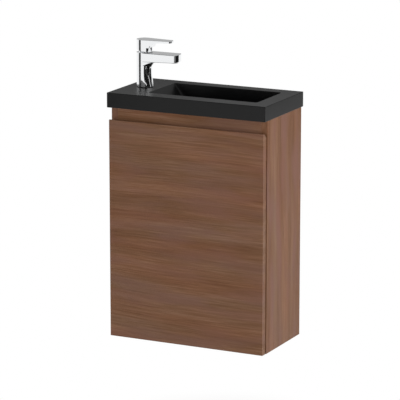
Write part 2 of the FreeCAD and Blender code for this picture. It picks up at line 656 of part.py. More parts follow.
# Aerator: threaded sleeve with a perforated disc snapped into it
disc_r = AERATOR_R - AERATOR_WALL + AERATOR_GROOVE
disc_low = aerator_low + AERATOR_SEAT
sleeve_bore = AERATOR_R - AERATOR_WALL
sleeve = turned([(sleeve_bore, 0), (AERATOR_R - AERATOR_GROOVE, 0), (AERATOR_R, AERATOR_GROOVE),
                 (AERATOR_R, AERATOR_H), (sleeve_bore, AERATOR_H)], aerator_x, 0, aerator_low)
sleeve = sleeve.cut(rod(disc_r, V(aerator_x, 0, disc_low), Z_AXIS, AERATOR_DISC_T + 2 * FIT))
export("aerator_sleeve", on_tap(sleeve))
holes = [rod(AERATOR_HOLE_R, V(aerator_x, 0, disc_low), Z_AXIS, AERATOR_DISC_T)]
for ring in (1, 2):
    for cx, cy in ring_of(6 * ring, ring * AERATOR_RING_STEP, aerator_x, 0):
        holes.append(rod(AERATOR_HOLE_R, V(cx, cy, disc_low), Z_AXIS, AERATOR_DISC_T))
disc = rod(disc_r - FIT, V(aerator_x, 0, disc_low), Z_AXIS, AERATOR_DISC_T)
export("aerator_disc", on_tap(cut_all(disc, holes)))

# Mixing cartridge: housing, clamp ring, turning rotor, tilting stem
lift_z = TAP_BODY_H + LIFT_PIVOT
rotor_r = CARTRIDGE_R - ROTOR_SET
rotor_low = nut_foot - ROTOR_POCKET
rotor_top = lift_z + ROTOR_TOP
hub_roof = TAP_BODY_H + LEVER_H - LEVER_ROOF_T
lift = math.radians(LEVER_LIFT_DEG)
stem_low = rotor_low + ROTOR_SET
stem_swing = (lift_z - stem_low) * math.sin(lift) + STEM_R * math.cos(lift) + SLACK
housing = rod(CARTRIDGE_R, V(0, 0, cartridge_foot), Z_AXIS, CARTRIDGE_H)
housing = housing.cut(rod(rotor_r + SLACK, V(0, 0, rotor_low), Z_AXIS, ROTOR_POCKET))
housing = housing.cut(rod(STEM_WELL_R, V(0, 0, rotor_low - STEM_WELL_DEEP), Z_AXIS, STEM_WELL_DEEP))
for cx, cy in ring_of(3, CARTRIDGE_PORT_OUT, 0, 0):
    housing = housing.cut(rod(CARTRIDGE_PORT_R, V(cx, cy, cartridge_foot), Z_AXIS, CARTRIDGE_PORT_DEEP))
export("cartridge_housing", on_tap(housing))
ring_nut = tube(nut_r, rotor_r + SLACK, V(0, 0, nut_foot), Z_AXIS, CARTRIDGE_NUT_H)
for k in range(6):
    notch = box(rotor_r, nut_r + 1, -NUT_NOTCH_W / 2, NUT_NOTCH_W / 2,
                nut_foot + CARTRIDGE_NUT_H - NUT_NOTCH_DEEP, nut_foot + CARTRIDGE_NUT_H)
    notch.rotate(V(0, 0, 0), Z_AXIS, 60 * k)
    ring_nut = ring_nut.cut(notch)
export("cartridge_nut", on_tap(ring_nut))
shoulder = TAP_BODY_H - ROTOR_SET
slot_y = STEM_R + SLACK
rotor = turned([(0, rotor_low + ROTOR_RUN), (rotor_r, rotor_low + ROTOR_RUN), (rotor_r, shoulder - ROTOR_SET),
                (ROTOR_NECK_R, shoulder), (ROTOR_NECK_R, rotor_top), (0, rotor_top)], 0, 0, 0)
rotor = rotor.cut(box(-rotor_r, rotor_r, -slot_y, slot_y, shoulder, rotor_top))
rotor = rotor.cut(box(-stem_swing, stem_swing, -slot_y, slot_y, rotor_low, rotor_top))
rotor = rotor.cut(rod(LIFT_PIN_R + FIT, V(0, -ROTOR_NECK_R, lift_z), Y_AXIS, 2 * ROTOR_NECK_R))
export("cartridge_rotor", on_tap(rotor))
pin_half = ROTOR_NECK_R - ROTOR_SET
export("cartridge_pivot_pin", on_tap(rod(LIFT_PIN_R, V(0, -pin_half, lift_z), Y_AXIS, 2 * pin_half)))
stem = join([rod(STEM_R, V(0, 0, stem_low), Z_AXIS, hub_roof - stem_low),
             box(-SOCKET_HALF, SOCKET_HALF, -SOCKET_HALF, SOCKET_HALF, hub_roof, hub_roof + SOCKET_DEEP)])
export("cartridge_stem", on_tap(stem.cut(rod(LIFT_PIN_R + FIT, V(0, -STEM_R, lift_z), Y_AXIS, 2 * STEM_R))))
collar_bore = ROTOR_NECK_R + SLACK
collar = turned([(collar_bore, COLLAR_H - COLLAR_LIP), (ROTOR_NECK_R + 2 * COLLAR_LIP, COLLAR_H),
                 (ROTOR_NECK_R + 5 * COLLAR_LIP, COLLAR_H - 1.5 * COLLAR_LIP),
                 (nut_r - 2 * COLLAR_LIP, COLLAR_H * 0.4), (nut_r + COLLAR_LIP, 0), (rotor_r + COLLAR_LIP, 0),
                 (ROTOR_NECK_R + 4 * COLLAR_LIP, COLLAR_H * 0.6), (collar_bore, COLLAR_H - 2 * COLLAR_LIP)],
                0, 0, TAP_BODY_H)
export("tap_collar", on_tap(collar))

# Lever: round hub cut on a slant below so that it can tip back, running out into a flat tapered blade
lever_top = TAP_BODY_H + LEVER_H
hub_r = TAP_TOP_R - HUB_SET
hub_front = TAP_BODY_H + LEVER_GAP
hub_back = hub_front + hub_r * math.sin(lift) - LEVER_TAIL_TRIM
root_z = lever_top - LEVER_ROOT_T
tip_z = lever_top - LEVER_TIP_T
blade_line = [V(LEVER_REACH, 0, tip_z), V(LEVER_REACH * 0.68, 0, tip_z - LEVER_TIP_T * 0.15),
              V(LEVER_REACH * 0.44, 0, tip_z - LEVER_TIP_T * 0.65),
              V(hub_r + LEVER_KNEE, 0, lever_top - LEVER_KNEE_T), V(hub_r - 0.2, 0, root_z)]
blade_back = V(0, 0, lever_top)
blade_tip = V(LEVER_REACH, 0, lever_top)
blade_root = V(0, 0, root_z)
blade_side = Part.Wire([Part.makeLine(blade_back, blade_tip), Part.makeLine(blade_tip, blade_line[0]),
                        curve_through(blade_line), Part.makeLine(blade_line[-1], blade_root),
                        Part.makeLine(blade_root, blade_back)])
blade = Part.Face(blade_side).extrude(V(0, 4 * hub_r, 0))
blade.translate(V(0, -2 * hub_r, 0))
plan = face_of([V(0, -hub_r + 0.1, root_z), V(LEVER_REACH, -LEVER_TIP_W / 2, root_z),
                V(LEVER_REACH, LEVER_TIP_W / 2, root_z), V(0, hub_r - 0.1, root_z)])
plan = plan.extrude(V(0, 0, LEVER_ROOT_T))
plan = plan.makeFillet(LEVER_TIP_R, edges_where(
    plan, lambda b: b.XMin > LEVER_REACH - 1 and b.ZLength > LEVER_ROOT_T / 2))
lever = join([rod(hub_r, V(0, 0, TAP_BODY_H), Z_AXIS, LEVER_H), blade.common(plan)])
lever = lever.makeFillet(LEVER_EDGE_R, edges_where(lever, at_level(lever_top)))
under = face_of([V(-2 * hub_r, 0, 0), V(hub_r, 0, 0), V(hub_r, 0, hub_front), V(-hub_r, 0, hub_back),
                 V(-2 * hub_r, 0, hub_back)]).extrude(V(0, 4 * hub_r, 0))
under.translate(V(0, -2 * hub_r, 0))
socket = SOCKET_HALF + FIT
grub_z = hub_roof + GRUB_RISE
plug_x = PLUG_DEEP - hub_r
lever = lever.cut(under).cut(rod(hub_r - HUB_WALL, V(0, 0, TAP_BODY_H), Z_AXIS, hub_roof - TAP_BODY_H))
lever = lever.cut(box(-socket, socket, -socket, socket, hub_roof, hub_roof + SOCKET_DEEP))
lever = lever.cut(rod(GRUB_R + FIT, V(-SOCKET_HALF, 0, grub_z), -X_AXIS, hub_r))
export("tap_lever", on_tap(lever.cut(rod(PLUG_R + FIT, V(plug_x, 0, grub_z), -X_AXIS, hub_r))))
grub = rod(GRUB_R, V(-SOCKET_HALF, 0, grub_z), -X_AXIS, GRUB_LEN)
grub_key = rod(GRUB_KEY_R, V(-SOCKET_HALF - GRUB_LEN, 0, grub_z), X_AXIS, GRUB_R)
export("lever_grub_screw", on_tap(grub.cut(grub_key)))
plug = rod(PLUG_R, V(plug_x, 0, grub_z), -X_AXIS, hub_r)
export("lever_plug", on_tap(plug.common(rod(hub_r + PLUG_PROUD, V(0, 0, TAP_BODY_H), Z_AXIS, LEVER_H))))

# Joints between the boards: dowels, and cam locks drawing in bolts that stand out of the side panels
locks = []
bolts = []
dowels = []
board_cuts = []
side_cuts = []


def add_lock(y, z, face_axis):
    """Cam lock let into a board from the face that face_axis points out of, with its bolt in the side panel."""
    for side in (-1, 1):
        inward = X_AXIS * -side
        root = V(side * SIDE_IN, y, z)
        centre = root + inward * CAM_INSET
        cam_mouth = centre + face_axis * (BOARD_T / 2)
        across = face_axis.cross(X_AXIS)
        lock = rod(CAM_R, cam_mouth, face_axis * -1, CAM_H)
        lock = lock.cut(rod(BOLT_R + SLACK, centre, inward * -1, CAM_R + 1))
        locks.append(lock.cut(rod(CAM_SLOT_R, cam_mouth - across * (CAM_SLOT_L / 2), across, CAM_SLOT_L)))
        bolts.append(join([rod(BOLT_R, root, inward, CAM_INSET - BOLT_END_GAP),
                           rod(BOLT_THREAD_R, root, inward * -1, BOLT_THREAD_LEN)]))
        board_cuts.append(rod(CAM_R + FIT, cam_mouth, face_axis * -1, CAM_H))
        board_cuts.append(rod(BOLT_R + FIT, root, inward, CAM_INSET))
        side_cuts.append(rod(BOLT_THREAD_R + FIT, root, inward * -1, BOLT_THREAD_LEN))


def add_dowel(y, z):
    for side in (-1, 1):
        start = V(side * (SIDE_IN + DOWEL_LEN / 3), y, z)
        dowels.append(rod(DOWEL_R, start, X_AXIS * -side, DOWEL_LEN))
        hole = rod(DOWEL_R + FIT, start, X_AXIS * -side, DOWEL_LEN)
        board_cuts.append(hole)
        side_cuts.append(hole)


def drilled(board, cutters):
    near = [c for c in cutters if board.BoundBox.intersect(c.BoundBox)]
    return cut_all(board, near) if near else board


def eased(board):
    """Board with its banded edges slightly eased."""
    return board.makeFillet(BOARD_EDGE_R, board.Edges)


carcass_depth = CARCASS_BACK - CARCASS_FRONT
rear_mid = CARCASS_BACK - BOARD_T / 2
front_mid = CARCASS_FRONT + BOARD_T / 2
bottom_mid = BASE + BOARD_T / 2
rear_low = CARCASS_TOP - REAR_RAIL_TOP_H
notch_low = CARCASS_TOP - NOTCH_DROP
rear_tongue = notch_low - rear_low
low_rail_foot = BASE + BOARD_T
for share in (0.25, 0.75):
    add_lock(CARCASS_FRONT + carcass_depth * share, bottom_mid, Z_AXIS * -1)
for share in (0.12, 0.58):
    add_dowel(CARCASS_FRONT + carcass_depth * share, bottom_mid)
add_lock(front_mid, CARCASS_TOP - GRIP_RAIL_H / 2, Y_AXIS)
for share in (0.2, 0.8):
    add_dowel(front_mid, CARCASS_TOP - GRIP_RAIL_H * share)
add_lock(rear_mid, rear_low + rear_tongue * 0.68, Y_AXIS * -1)
add_dowel(rear_mid, rear_low + rear_tongue * 0.25)
add_lock(rear_mid, low_rail_foot + REAR_RAIL_LOW_H * 0.6, Y_AXIS * -1)
add_dowel(rear_mid, low_rail_foot + REAR_RAIL_LOW_H * 0.25)

# Shelf on four pins, with a hole above and below each pin
shelf_low = CARCASS_TOP - SHELF_DROP - BOARD_T
shelf_front = CARCASS_FRONT + SHELF_SET
shelf_back = CARCASS_BACK - BOARD_T - SHELF_SET
pins = []
for side in (-1, 1):
    for y in (shelf_front + SHELF_PIN_IN, shelf_back - SHELF_PIN_IN):
        start = V(side * (SIDE_IN + PIN_LEN / 2), y, shelf_low - PIN_R)
        pins.append(rod(PIN_R, start, X_AXIS * -side, PIN_LEN))
        for step in (-1, 0, 1):
            hole_start = start + V(0, 0, SHELF_PIN_STEP * step)
            side_cuts.append(rod(PIN_R + FIT, hole_start, X_AXIS * -side, PIN_LEN / 2))
export("shelf_pins", *pins)
shelf_half = SIDE_IN - SHELF_END_GAP
export("shelf", eased(box(-shelf_half, shelf_half, shelf_front, shelf_back, shelf_low, shelf_low + BOARD_T)))

# Hangers: wall plate with its lip, hook, and the case that is pegged to the side panel
hook_x = SIDE_IN - HANGER_T / 2
lip_front = -PLATE_T - LIP_GAP - PLATE_T
lip_back = lip_front + PLATE_T
lip_low = LIP_TOP - LIP_H
plate_half = WALL_SCREW_RISE / 2 + PLATE_MARGIN
plate_in = WALL_SCREW_SPAN / 2 - PLATE_END
plate = join([box(plate_in, SIDE_IN - PLATE_SIDE_GAP, -PLATE_T, 0, -plate_half, plate_half),
              box(hook_x - LIP_W / 2, hook_x + LIP_W / 2, lip_front, 0, lip_low, lip_low + PLATE_T),
              box(hook_x - LIP_W / 2, hook_x + LIP_W / 2, lip_front, lip_back, lip_low, LIP_TOP)])
for z in (-WALL_SCREW_RISE / 2, WALL_SCREW_RISE / 2):
    plate = plate.cut(rod(WALL_SCREW_R, V(WALL_SCREW_SPAN / 2, -PLATE_T, z), Y_AXIS, PLATE_T))
export("wall_plate_right", plate)
export("wall_plate_left", mirrored(plate))
case_back = lip_front - HANGER_CLEAR
case_front = case_back - HANGER_L
case_low = notch_low + NOTCH_FLOOR
case_top = CARCASS_TOP - HANGER_TOP_GAP
hook_root = case_front + HANGER_ROOT
hook_back = -PLATE_T - SLACK
hook_in = lip_back + SLACK
hook = face_of([V(hook_x, hook_root, LIP_TOP), V(hook_x, hook_in, LIP_TOP),
                V(hook_x, hook_in, LIP_TOP - HOOK_DIP), V(hook_x, hook_back, LIP_TOP - HOOK_TOE),
                V(hook_x, hook_back, LIP_TOP + HOOK_H), V(hook_x, hook_root, LIP_TOP + HOOK_H)])
hook = hook.extrude(V(HOOK_T, 0, 0))
hook.translate(V(-HOOK_T / 2, 0, 0))
hook = hook.makeFillet(HOOK_R, edges_where(
    hook, lambda b: b.XLength > HOOK_T / 2 and b.ZMin > LIP_TOP + HOOK_H / 2 and b.YMin > hook_in))
export("hanger_hook_right", hook)
export("hanger_hook_left", mirrored(hook))
case = box(SIDE_IN - HANGER_T, SIDE_IN, case_front, case_back, case_low, case_top)
case = case.makeFillet(HANGER_EDGE_R, edges_where(case, lambda b: b.XMax < SIDE_IN - HANGER_T / 2))
case = case.cut(box(hook_x - HOOK_T / 2 - FIT, hook_x + HOOK_T / 2 + FIT, hook_root - FIT, case_back,
                    LIP_TOP - FIT, LIP_TOP + HOOK_H + FIT))
adjusters = []
for z in (case_top - ADJUSTER_HIGH, LIP_TOP - ADJUSTER_LOW):
    case = case.cut(rod(ADJUSTER_R + FIT, V(hook_x, case_front, z), Y_AXIS, ADJUSTER_LEN + ADJUSTER_SUNK))
    screw = rod(ADJUSTER_R, V(hook_x, case_front + ADJUSTER_SUNK, z), Y_AXIS, ADJUSTER_LEN)
    cross_y = case_front + ADJUSTER_SUNK + CROSS_DEEP
    for half_x, half_z in ((CROSS_W / 2, CROSS_L / 2), (CROSS_L / 2, CROSS_W / 2)):
        screw = screw.cut(box(hook_x - half_x, hook_x + half_x, case_front, cross_y, z - half_z, z + half_z))
    adjusters.append(screw)
    adjusters.append(mirrored(screw))
export("hanger_adjusters", *adjusters)
peg_z = (case_low + case_top) / 2 + HANGER_PEG_RISE
for step in (0, 1):
    y = case_front + HANGER_PEG_IN + HANGER_PEG_STEP * step
    case = join([case, rod(HANGER_PEG_R, V(SIDE_IN, y, peg_z), X_AXIS, HANGER_PEG_LEN)])
    for side in (-1, 1):
        side_cuts.append(rod(HANGER_PEG_R + FIT, V(side * SIDE_IN, y, peg_z), X_AXIS * side, HANGER_PEG_LEN))
export("hanger_case_right", case)
export("hanger_case_left", mirrored(case))

# Hinges: the arm reaches round the panel's front edge into the cup, clear of the door's corner as it swings
door_left = -DOOR_W / 2
hinge_x = door_left + HINGE_AXIS_IN
hinge_y = DOOR_BACK - HINGE_AXIS_DEEP
eye_r = HINGE_PIN_R + HINGE_EYE_WALL
cup_x = door_left + CUP_TAB + CUP_R
cup_depth = HINGE_AXIS_DEEP + eye_r + SLACK + CUP_FLOOR
corner_swing = math.hypot(HINGE_AXIS_IN, HINGE_AXIS_DEEP)
arm_x = hinge_x + corner_swing + HINGE_SWEEP_GAP
arm_out = arm_x + HINGE_ARM_T
arm_back = CARCASS_FRONT + HINGE_ARM_BACK
neck_y = hinge_y - eye_r + HINGE_NECK_RISE
wing_y = CARCASS_FRONT + PLATE_SCREW_IN
arm_screw_y = (wing_y + arm_back) / 2
wing_face = -SIDE_IN + HINGE_WING_T
wing_bolt_x = cup_x + CUP_SCREW_IN
pin_half = math.sqrt(CUP_R ** 2 - (cup_x - hinge_x + HINGE_PIN_R) ** 2) - 2 * FIT
arms = []
plates = []
cups = []
hinge_pins = []
plate_screws = []
cup_screws = []
arm_screws = []
door_cuts = []


def wood_screw(head, axis, head_r, head_t, length):
    """Countersunk screw: cone head on a plain shank, with a round recess."""
    cone = Part.makeCone(head_r, SCREW_R, head_t, head, axis)
    return join([cone, rod(SCREW_R, head, axis, length)]).cut(rod(RECESS_R, head, axis, RECESS_DEEP))


def sink(head, axis, head_r, head_t):
    return Part.makeCone(head_r + FIT, SCREW_R + FIT, head_t, head, axis)


for z in (BASE + HINGE_END_IN, DOOR_TOP - HINGE_END_IN):
    low = z - HINGE_ARM_W / 2
    high = z + HINGE_ARM_W / 2
    arm = join([box(hinge_x, arm_out, neck_y, neck_y + HINGE_NECK_T, low, high),
                box(arm_x, arm_out, neck_y, arm_back, low, high)])
    arm = arm.makeFillet(HINGE_BEND_R, edges_where(
        arm, lambda b: b.ZLength > HINGE_ARM_W / 2 and b.XMin > arm_out - 0.1 and b.YMax < neck_y + 0.1))
    arm = arm.makeFillet(HINGE_THROAT_R, edges_where(
        arm, lambda b: b.ZLength > HINGE_ARM_W / 2 and abs(b.XMin - arm_x) < 0.1 and abs(b.XMax - arm_x) < 0.1
        and b.YMax < neck_y + HINGE_NECK_T + 0.1))
    arm = join([arm, rod(eye_r, V(hinge_x, hinge_y, low), Z_AXIS, HINGE_ARM_W)])
    arm = arm.cut(rod(HINGE_PIN_R + FIT, V(hinge_x, hinge_y, low), Z_AXIS, HINGE_ARM_W))
    arms.append(arm.cut(rod(SCREW_R + FIT, V(arm_x, arm_screw_y, z), X_AXIS, HINGE_ARM_T)))

    wing = box(-SIDE_IN, wing_face, wing_y - HINGE_WING_W / 2, wing_y + HINGE_WING_W / 2,
               z - HINGE_WING_H / 2, z + HINGE_WING_H / 2)
    wing = wing.makeFillet(HINGE_WING_R, edges_where(
        wing, lambda b: b.XLength > HINGE_WING_T / 2 and b.YLength < 0.1 and b.ZLength < 0.1))
    plate = join([wing, box(-SIDE_IN, arm_x, CARCASS_FRONT + HINGE_PLATE_IN, arm_back, low, high)])
    plate = plate.cut(rod(SCREW_R + FIT, V(-SIDE_IN, arm_screw_y, z), X_AXIS, arm_x + SIDE_IN))
    for s in (-1, 1):
        head = V(wing_face, wing_y, z + s * PLATE_SCREW_RISE)
        plate = plate.cut(sink(head, X_AXIS * -1, PLATE_SCREW_HEAD_R, HINGE_WING_T))
        plate_screws.append(wood_screw(head, X_AXIS * -1, PLATE_SCREW_HEAD_R, HINGE_WING_T, PLATE_SCREW_LEN))
        hole = V(-SIDE_IN, wing_y, z + s * PLATE_SCREW_RISE)
        side_cuts.append(rod(SCREW_R + FIT, hole, X_AXIS * -1, PLATE_SCREW_LEN - HINGE_WING_T + SCREW_TIP_GAP))
    plates.append(plate)
    bolt_foot = V(-SIDE_IN + ARM_SCREW_FOOT, arm_screw_y, z)
    arm_screw = join([rod(SCREW_R, bolt_foot, X_AXIS, arm_out - bolt_foot.x),
                      rod(ARM_SCREW_HEAD_R, V(arm_out, arm_screw_y, z), X_AXIS, ARM_SCREW_HEAD_T)])
    arm_screws.append(arm_screw.cut(rod(RECESS_R, V(arm_out + ARM_SCREW_HEAD_T, arm_screw_y, z), X_AXIS * -1,
                                        RECESS_DEEP)))

    wing = box(cup_x - CUP_WING_OUT, cup_x + CUP_WING_IN, DOOR_BACK, DOOR_BACK + CUP_WING_T,
               z - CUP_WING_H / 2, z + CUP_WING_H / 2)
    wing = wing.makeFillet(CUP_WING_R, edges_where(
        wing, lambda b: b.YLength > CUP_WING_T / 2 and b.XLength < 0.1 and b.ZLength < 0.1))
    mouth_y = DOOR_BACK + CUP_WING_T
    cup = join([rod(CUP_R, V(cup_x, DOOR_BACK, z), Y_AXIS * -1, cup_depth), wing])
    cup = cup.cut(rod(CUP_R - CUP_WALL, V(cup_x, mouth_y, z), Y_AXIS * -1, CUP_WING_T + cup_depth - CUP_FLOOR))
    cup = cup.cut(rod(HINGE_PIN_R + FIT, V(hinge_x, hinge_y, z - CUP_R), Z_AXIS, 2 * CUP_R))
    for s in (-1, 1):
        head = V(wing_bolt_x, mouth_y, z + s * CUP_SCREW_RISE)
        cup = cup.cut(sink(head, Y_AXIS * -1, CUP_SCREW_HEAD_R, CUP_WING_T))
        cup_screws.append(wood_screw(head, Y_AXIS * -1, CUP_SCREW_HEAD_R, CUP_WING_T, CUP_SCREW_LEN))
        hole = V(wing_bolt_x, DOOR_BACK, z + s * CUP_SCREW_RISE)
        door_cuts.append(rod(SCREW_R + FIT, hole, Y_AXIS * -1, CUP_SCREW_LEN - CUP_WING_T + SCREW_TIP_GAP))
    cups.append(cup)
    hinge_pins.append(rod(HINGE_PIN_R, V(hinge_x, hinge_y, z - pin_half), Z_AXIS, 2 * pin_half))
    door_cuts.append(rod(CUP_R + FIT, V(cup_x, DOOR_BACK, z), Y_AXIS * -1, cup_depth))
export("hinge_arms", *arms)
export("hinge_plates", *plates)
export("hinge_plate_screws", *plate_screws)
export("hinge_arm_screws", *arm_screws)
export("hinge_cups", *cups)
export("hinge_pins", *hinge_pins)
export("hinge_cup_screws", *cup_screws)

# The door's top edge falls away backwards from a narrow land, so fingers can hook behind it from the recess
door_side = [V(door_left, DOOR_FRONT, BASE), V(door_left, DOOR_BACK, BASE),
             V(door_left, DOOR_BACK, DOOR_TOP - GRIP_BEVEL_DROP),
             V(door_left, DOOR_FRONT + GRIP_BEVEL_LAND, DOOR_TOP), V(door_left, DOOR_FRONT, DOOR_TOP)]
door = face_of(door_side).extrude(V(DOOR_W, 0, 0))
door = door.makeFillet(BOARD_EDGE_R, edges_where(door, lambda b: b.YMax < DOOR_FRONT + 0.01))
export("door", drilled(door, door_cuts))
bumpers = []
for z in (BASE + BUMPER_IN, DOOR_TOP - BUMPER_IN):
    bumpers.append(rod(BUMPER_R, V(SIDE_OUT - BOARD_T / 2, CARCASS_FRONT, z), Y_AXIS * -1, DOOR_GAP))
export("door_bumpers", *bumpers)

# Carcass boards, drilled for everything that is let into them
side_panel = eased(box(SIDE_IN, SIDE_OUT, CARCASS_FRONT, CARCASS_BACK, BASE, CARCASS_TOP))
export("side_panel_right", drilled(side_panel, side_cuts))
export("side_panel_left", drilled(mirrored(side_panel), side_cuts))
bottom = box(-SIDE_IN, SIDE_IN, CARCASS_FRONT, CARCASS_BACK, BASE, low_rail_foot)
export("bottom_panel", drilled(bottom, board_cuts))
grip_back = CARCASS_FRONT + BOARD_T
grip_rail = box(-SIDE_IN, SIDE_IN, CARCASS_FRONT, grip_back, CARCASS_TOP - GRIP_RAIL_H, CARCASS_TOP)
export("grip_rail", drilled(grip_rail, board_cuts))
rear_front = CARCASS_BACK - BOARD_T
rear_rail = box(-SIDE_IN, SIDE_IN, rear_front, CARCASS_BACK, rear_low, CARCASS_TOP)
notch_in = SIDE_IN - HANGER_T - NOTCH_GAP
for x0, x1 in ((-SIDE_IN, -notch_in), (notch_in, SIDE_IN)):
    rear_rail = rear_rail.cut(box(x0, x1, rear_front, CARCASS_BACK, notch_low, CARCASS_TOP))
export("rear_rail_upper", drilled(rear_rail, board_cuts))
low_rail = box(-SIDE_IN, SIDE_IN, rear_front, CARCASS_BACK, low_rail_foot, low_rail_foot + REAR_RAIL_LOW_H)
export("rear_rail_lower", drilled(low_rail, board_cuts))
export("cam_locks", *locks)
export("cam_bolts", *bolts)
export("panel_dowels", *dowels)
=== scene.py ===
# %% [markdown]
# A wall-hung cloakroom vanity unit: a thin black basin slab with a chrome tap, on a small oak
# cabinet. Its solids come packed, each at its own place, so this lesson gives them their finishes
# and their fine detail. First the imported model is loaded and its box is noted, because nothing
# made here may grow past it.

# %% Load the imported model
import json
import math

import bpy
import numpy as np
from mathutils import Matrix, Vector

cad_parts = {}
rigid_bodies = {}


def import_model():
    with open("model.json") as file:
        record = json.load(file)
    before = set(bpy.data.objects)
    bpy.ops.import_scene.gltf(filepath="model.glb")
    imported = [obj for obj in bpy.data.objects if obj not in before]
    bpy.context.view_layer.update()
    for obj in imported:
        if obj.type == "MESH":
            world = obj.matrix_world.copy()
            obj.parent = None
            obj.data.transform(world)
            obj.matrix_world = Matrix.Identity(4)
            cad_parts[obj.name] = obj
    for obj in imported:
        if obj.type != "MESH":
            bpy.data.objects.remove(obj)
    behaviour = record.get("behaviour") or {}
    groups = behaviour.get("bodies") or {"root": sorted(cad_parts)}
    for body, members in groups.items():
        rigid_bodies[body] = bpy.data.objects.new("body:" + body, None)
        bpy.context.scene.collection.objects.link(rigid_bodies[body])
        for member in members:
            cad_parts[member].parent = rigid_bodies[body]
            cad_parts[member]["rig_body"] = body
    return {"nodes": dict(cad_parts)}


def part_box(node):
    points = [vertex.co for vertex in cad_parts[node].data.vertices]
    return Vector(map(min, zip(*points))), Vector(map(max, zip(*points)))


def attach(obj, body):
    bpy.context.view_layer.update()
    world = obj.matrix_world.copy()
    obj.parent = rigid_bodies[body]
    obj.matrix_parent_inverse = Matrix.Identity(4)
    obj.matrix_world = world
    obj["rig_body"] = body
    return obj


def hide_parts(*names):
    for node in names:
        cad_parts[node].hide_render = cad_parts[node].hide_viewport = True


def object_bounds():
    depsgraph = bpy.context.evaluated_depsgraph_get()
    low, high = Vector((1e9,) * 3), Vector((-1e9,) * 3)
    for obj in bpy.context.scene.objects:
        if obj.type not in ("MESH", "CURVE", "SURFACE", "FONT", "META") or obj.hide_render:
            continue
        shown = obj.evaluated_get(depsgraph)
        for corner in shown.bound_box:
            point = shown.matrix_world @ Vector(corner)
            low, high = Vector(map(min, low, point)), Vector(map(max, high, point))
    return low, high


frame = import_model()
nodes = frame["nodes"]
slot_of = {name: node.material_slots[0].material.name for name, node in nodes.items()}
cad_low, cad_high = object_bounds()
scene = bpy.context.scene
scene.view_settings.view_transform = "Standard"
print("nodes:", len(nodes), "box:", [round(v, 4) for v in cad_high - cad_low])

# %% [markdown]
# The camera stands well back with a long lens, a little to the right and above, as for a
# catalogue picture. A close camera would show the same face but would splay the uprights. The
# distance was chosen so that the edges of the slab run together at the same rate as in the
# photograph.

# %% Camera
CAMERA_TURN = math.radians(26.15)
CAMERA_RISE = math.radians(13.03)
CAMERA_DISTANCE = 5.983
CAMERA_LENS = 232.4
SENSOR_WIDTH = 36.0
CLIP_END = 100.0
AIM = Vector((-0.0105, -0.1102, -0.1745))

back = Vector((math.sin(CAMERA_TURN) * math.cos(CAMERA_RISE),
               -math.cos(CAMERA_TURN) * math.cos(CAMERA_RISE), math.sin(CAMERA_RISE)))
camera = bpy.data.objects.new("camera", bpy.data.cameras.new("camera"))
camera.data.lens = CAMERA_LENS
camera.data.sensor_width = SENSOR_WIDTH
camera.data.clip_end = CLIP_END
camera.location = AIM + back * CAMERA_DISTANCE
camera.rotation_euler = (-back).to_track_quat("-Z", "Y").to_euler()
scene.collection.objects.link(camera)
scene.camera = camera
print("camera at", [round(v, 3) for v in camera.location])

# %% [markdown]
# Finishes are node trees. Their maths could be built node by node, but that is hard to read, so one
# small class wraps a socket and lets Python sums stand for Math nodes: 1 - mask * 0.5 adds two of
# them.


# %% Sockets that can be added and multiplied
class Value:
    """A shader socket that takes part in Python sums: each operator adds one Math node."""

    def __init__(self, nodes, socket):
        self.nodes = nodes
        self.socket = socket

    def output(self, key):
        """Another output of the same node."""
        return Value(self.nodes, self.socket.node.outputs[key])

    def maths(self, operation, *terms):
        """Adds a Math node on these terms."""
        return self.nodes.node("Math", {"operation": operation}, dict(enumerate(terms)))

    def __add__(self, other):
        return self.maths("ADD", self, other)

    def __radd__(self, other):
        return self.maths("ADD", other, self)

    def __sub__(self, other):
        return self.maths("SUBTRACT", self, other)

    def __rsub__(self, other):
        return self.maths("SUBTRACT", other, self)

    def __mul__(self, other):
        return self.maths("MULTIPLY", self, other)

    def __rmul__(self, other):
        return self.maths("MULTIPLY", other, self)

    def __abs__(self):
        return self.maths("ABSOLUTE", self)

    def least(self, other):
        """The smaller of the two."""
        return self.maths("MINIMUM", self, other)


print("sockets take part in sums")

# %% [markdown]
# Any other node takes several calls: one adds it, more set it up and link it. Here one method takes
# its kind, its settings and its sockets. The settings go first, because some nodes change their
# sockets with them.


# %% Node trees
class Nodes:
    """A node tree, with one method that adds any node to it."""

    def __init__(self, tree):
        self.tree = tree

    def plug(self, socket, item):
        """Links a wrapped socket, or sets a plain value."""
        if isinstance(item, Value):
            self.tree.links.new(item.socket, socket)
        else:
            socket.default_value = item

    def node(self, kind, settings=None, inputs=None):
        """Adds a node of this kind: its settings first, then the values or links of its sockets.

        The stops of a ramp are a setting, given as pairs of a place and a colour.
        """
        node = self.tree.nodes.new("ShaderNode" + kind)
        for key, value in (settings or {}).items():
            if key == "stops":
                elements = node.color_ramp.elements
                while len(elements) < len(value):
                    elements.new(0.5)
                for stop, (place, colour) in zip(elements, value):
                    stop.position = place
                    stop.color = colour
            else:
                setattr(node, key, value)
        for key, value in (inputs or {}).items():
            self.plug(node.inputs[key], value)
        return Value(self, node.outputs[0])

    def seen_directly(self):
        """1 for rays from the camera, a mirror or glass, and 0 for rays that only carry light."""
        rays = self.node("LightPath")
        return (rays.output("Is Camera Ray") + rays.output("Is Glossy Ray")
                + rays.output("Is Transmission Ray"))


print("node trees can be filled")

# %% [markdown]
# A finish is such a tree with a shader at its end. Every finish here reads its place on the object,
# turns noise into colours and relief, and mixes them, so these few nodes get short names of their
# own.


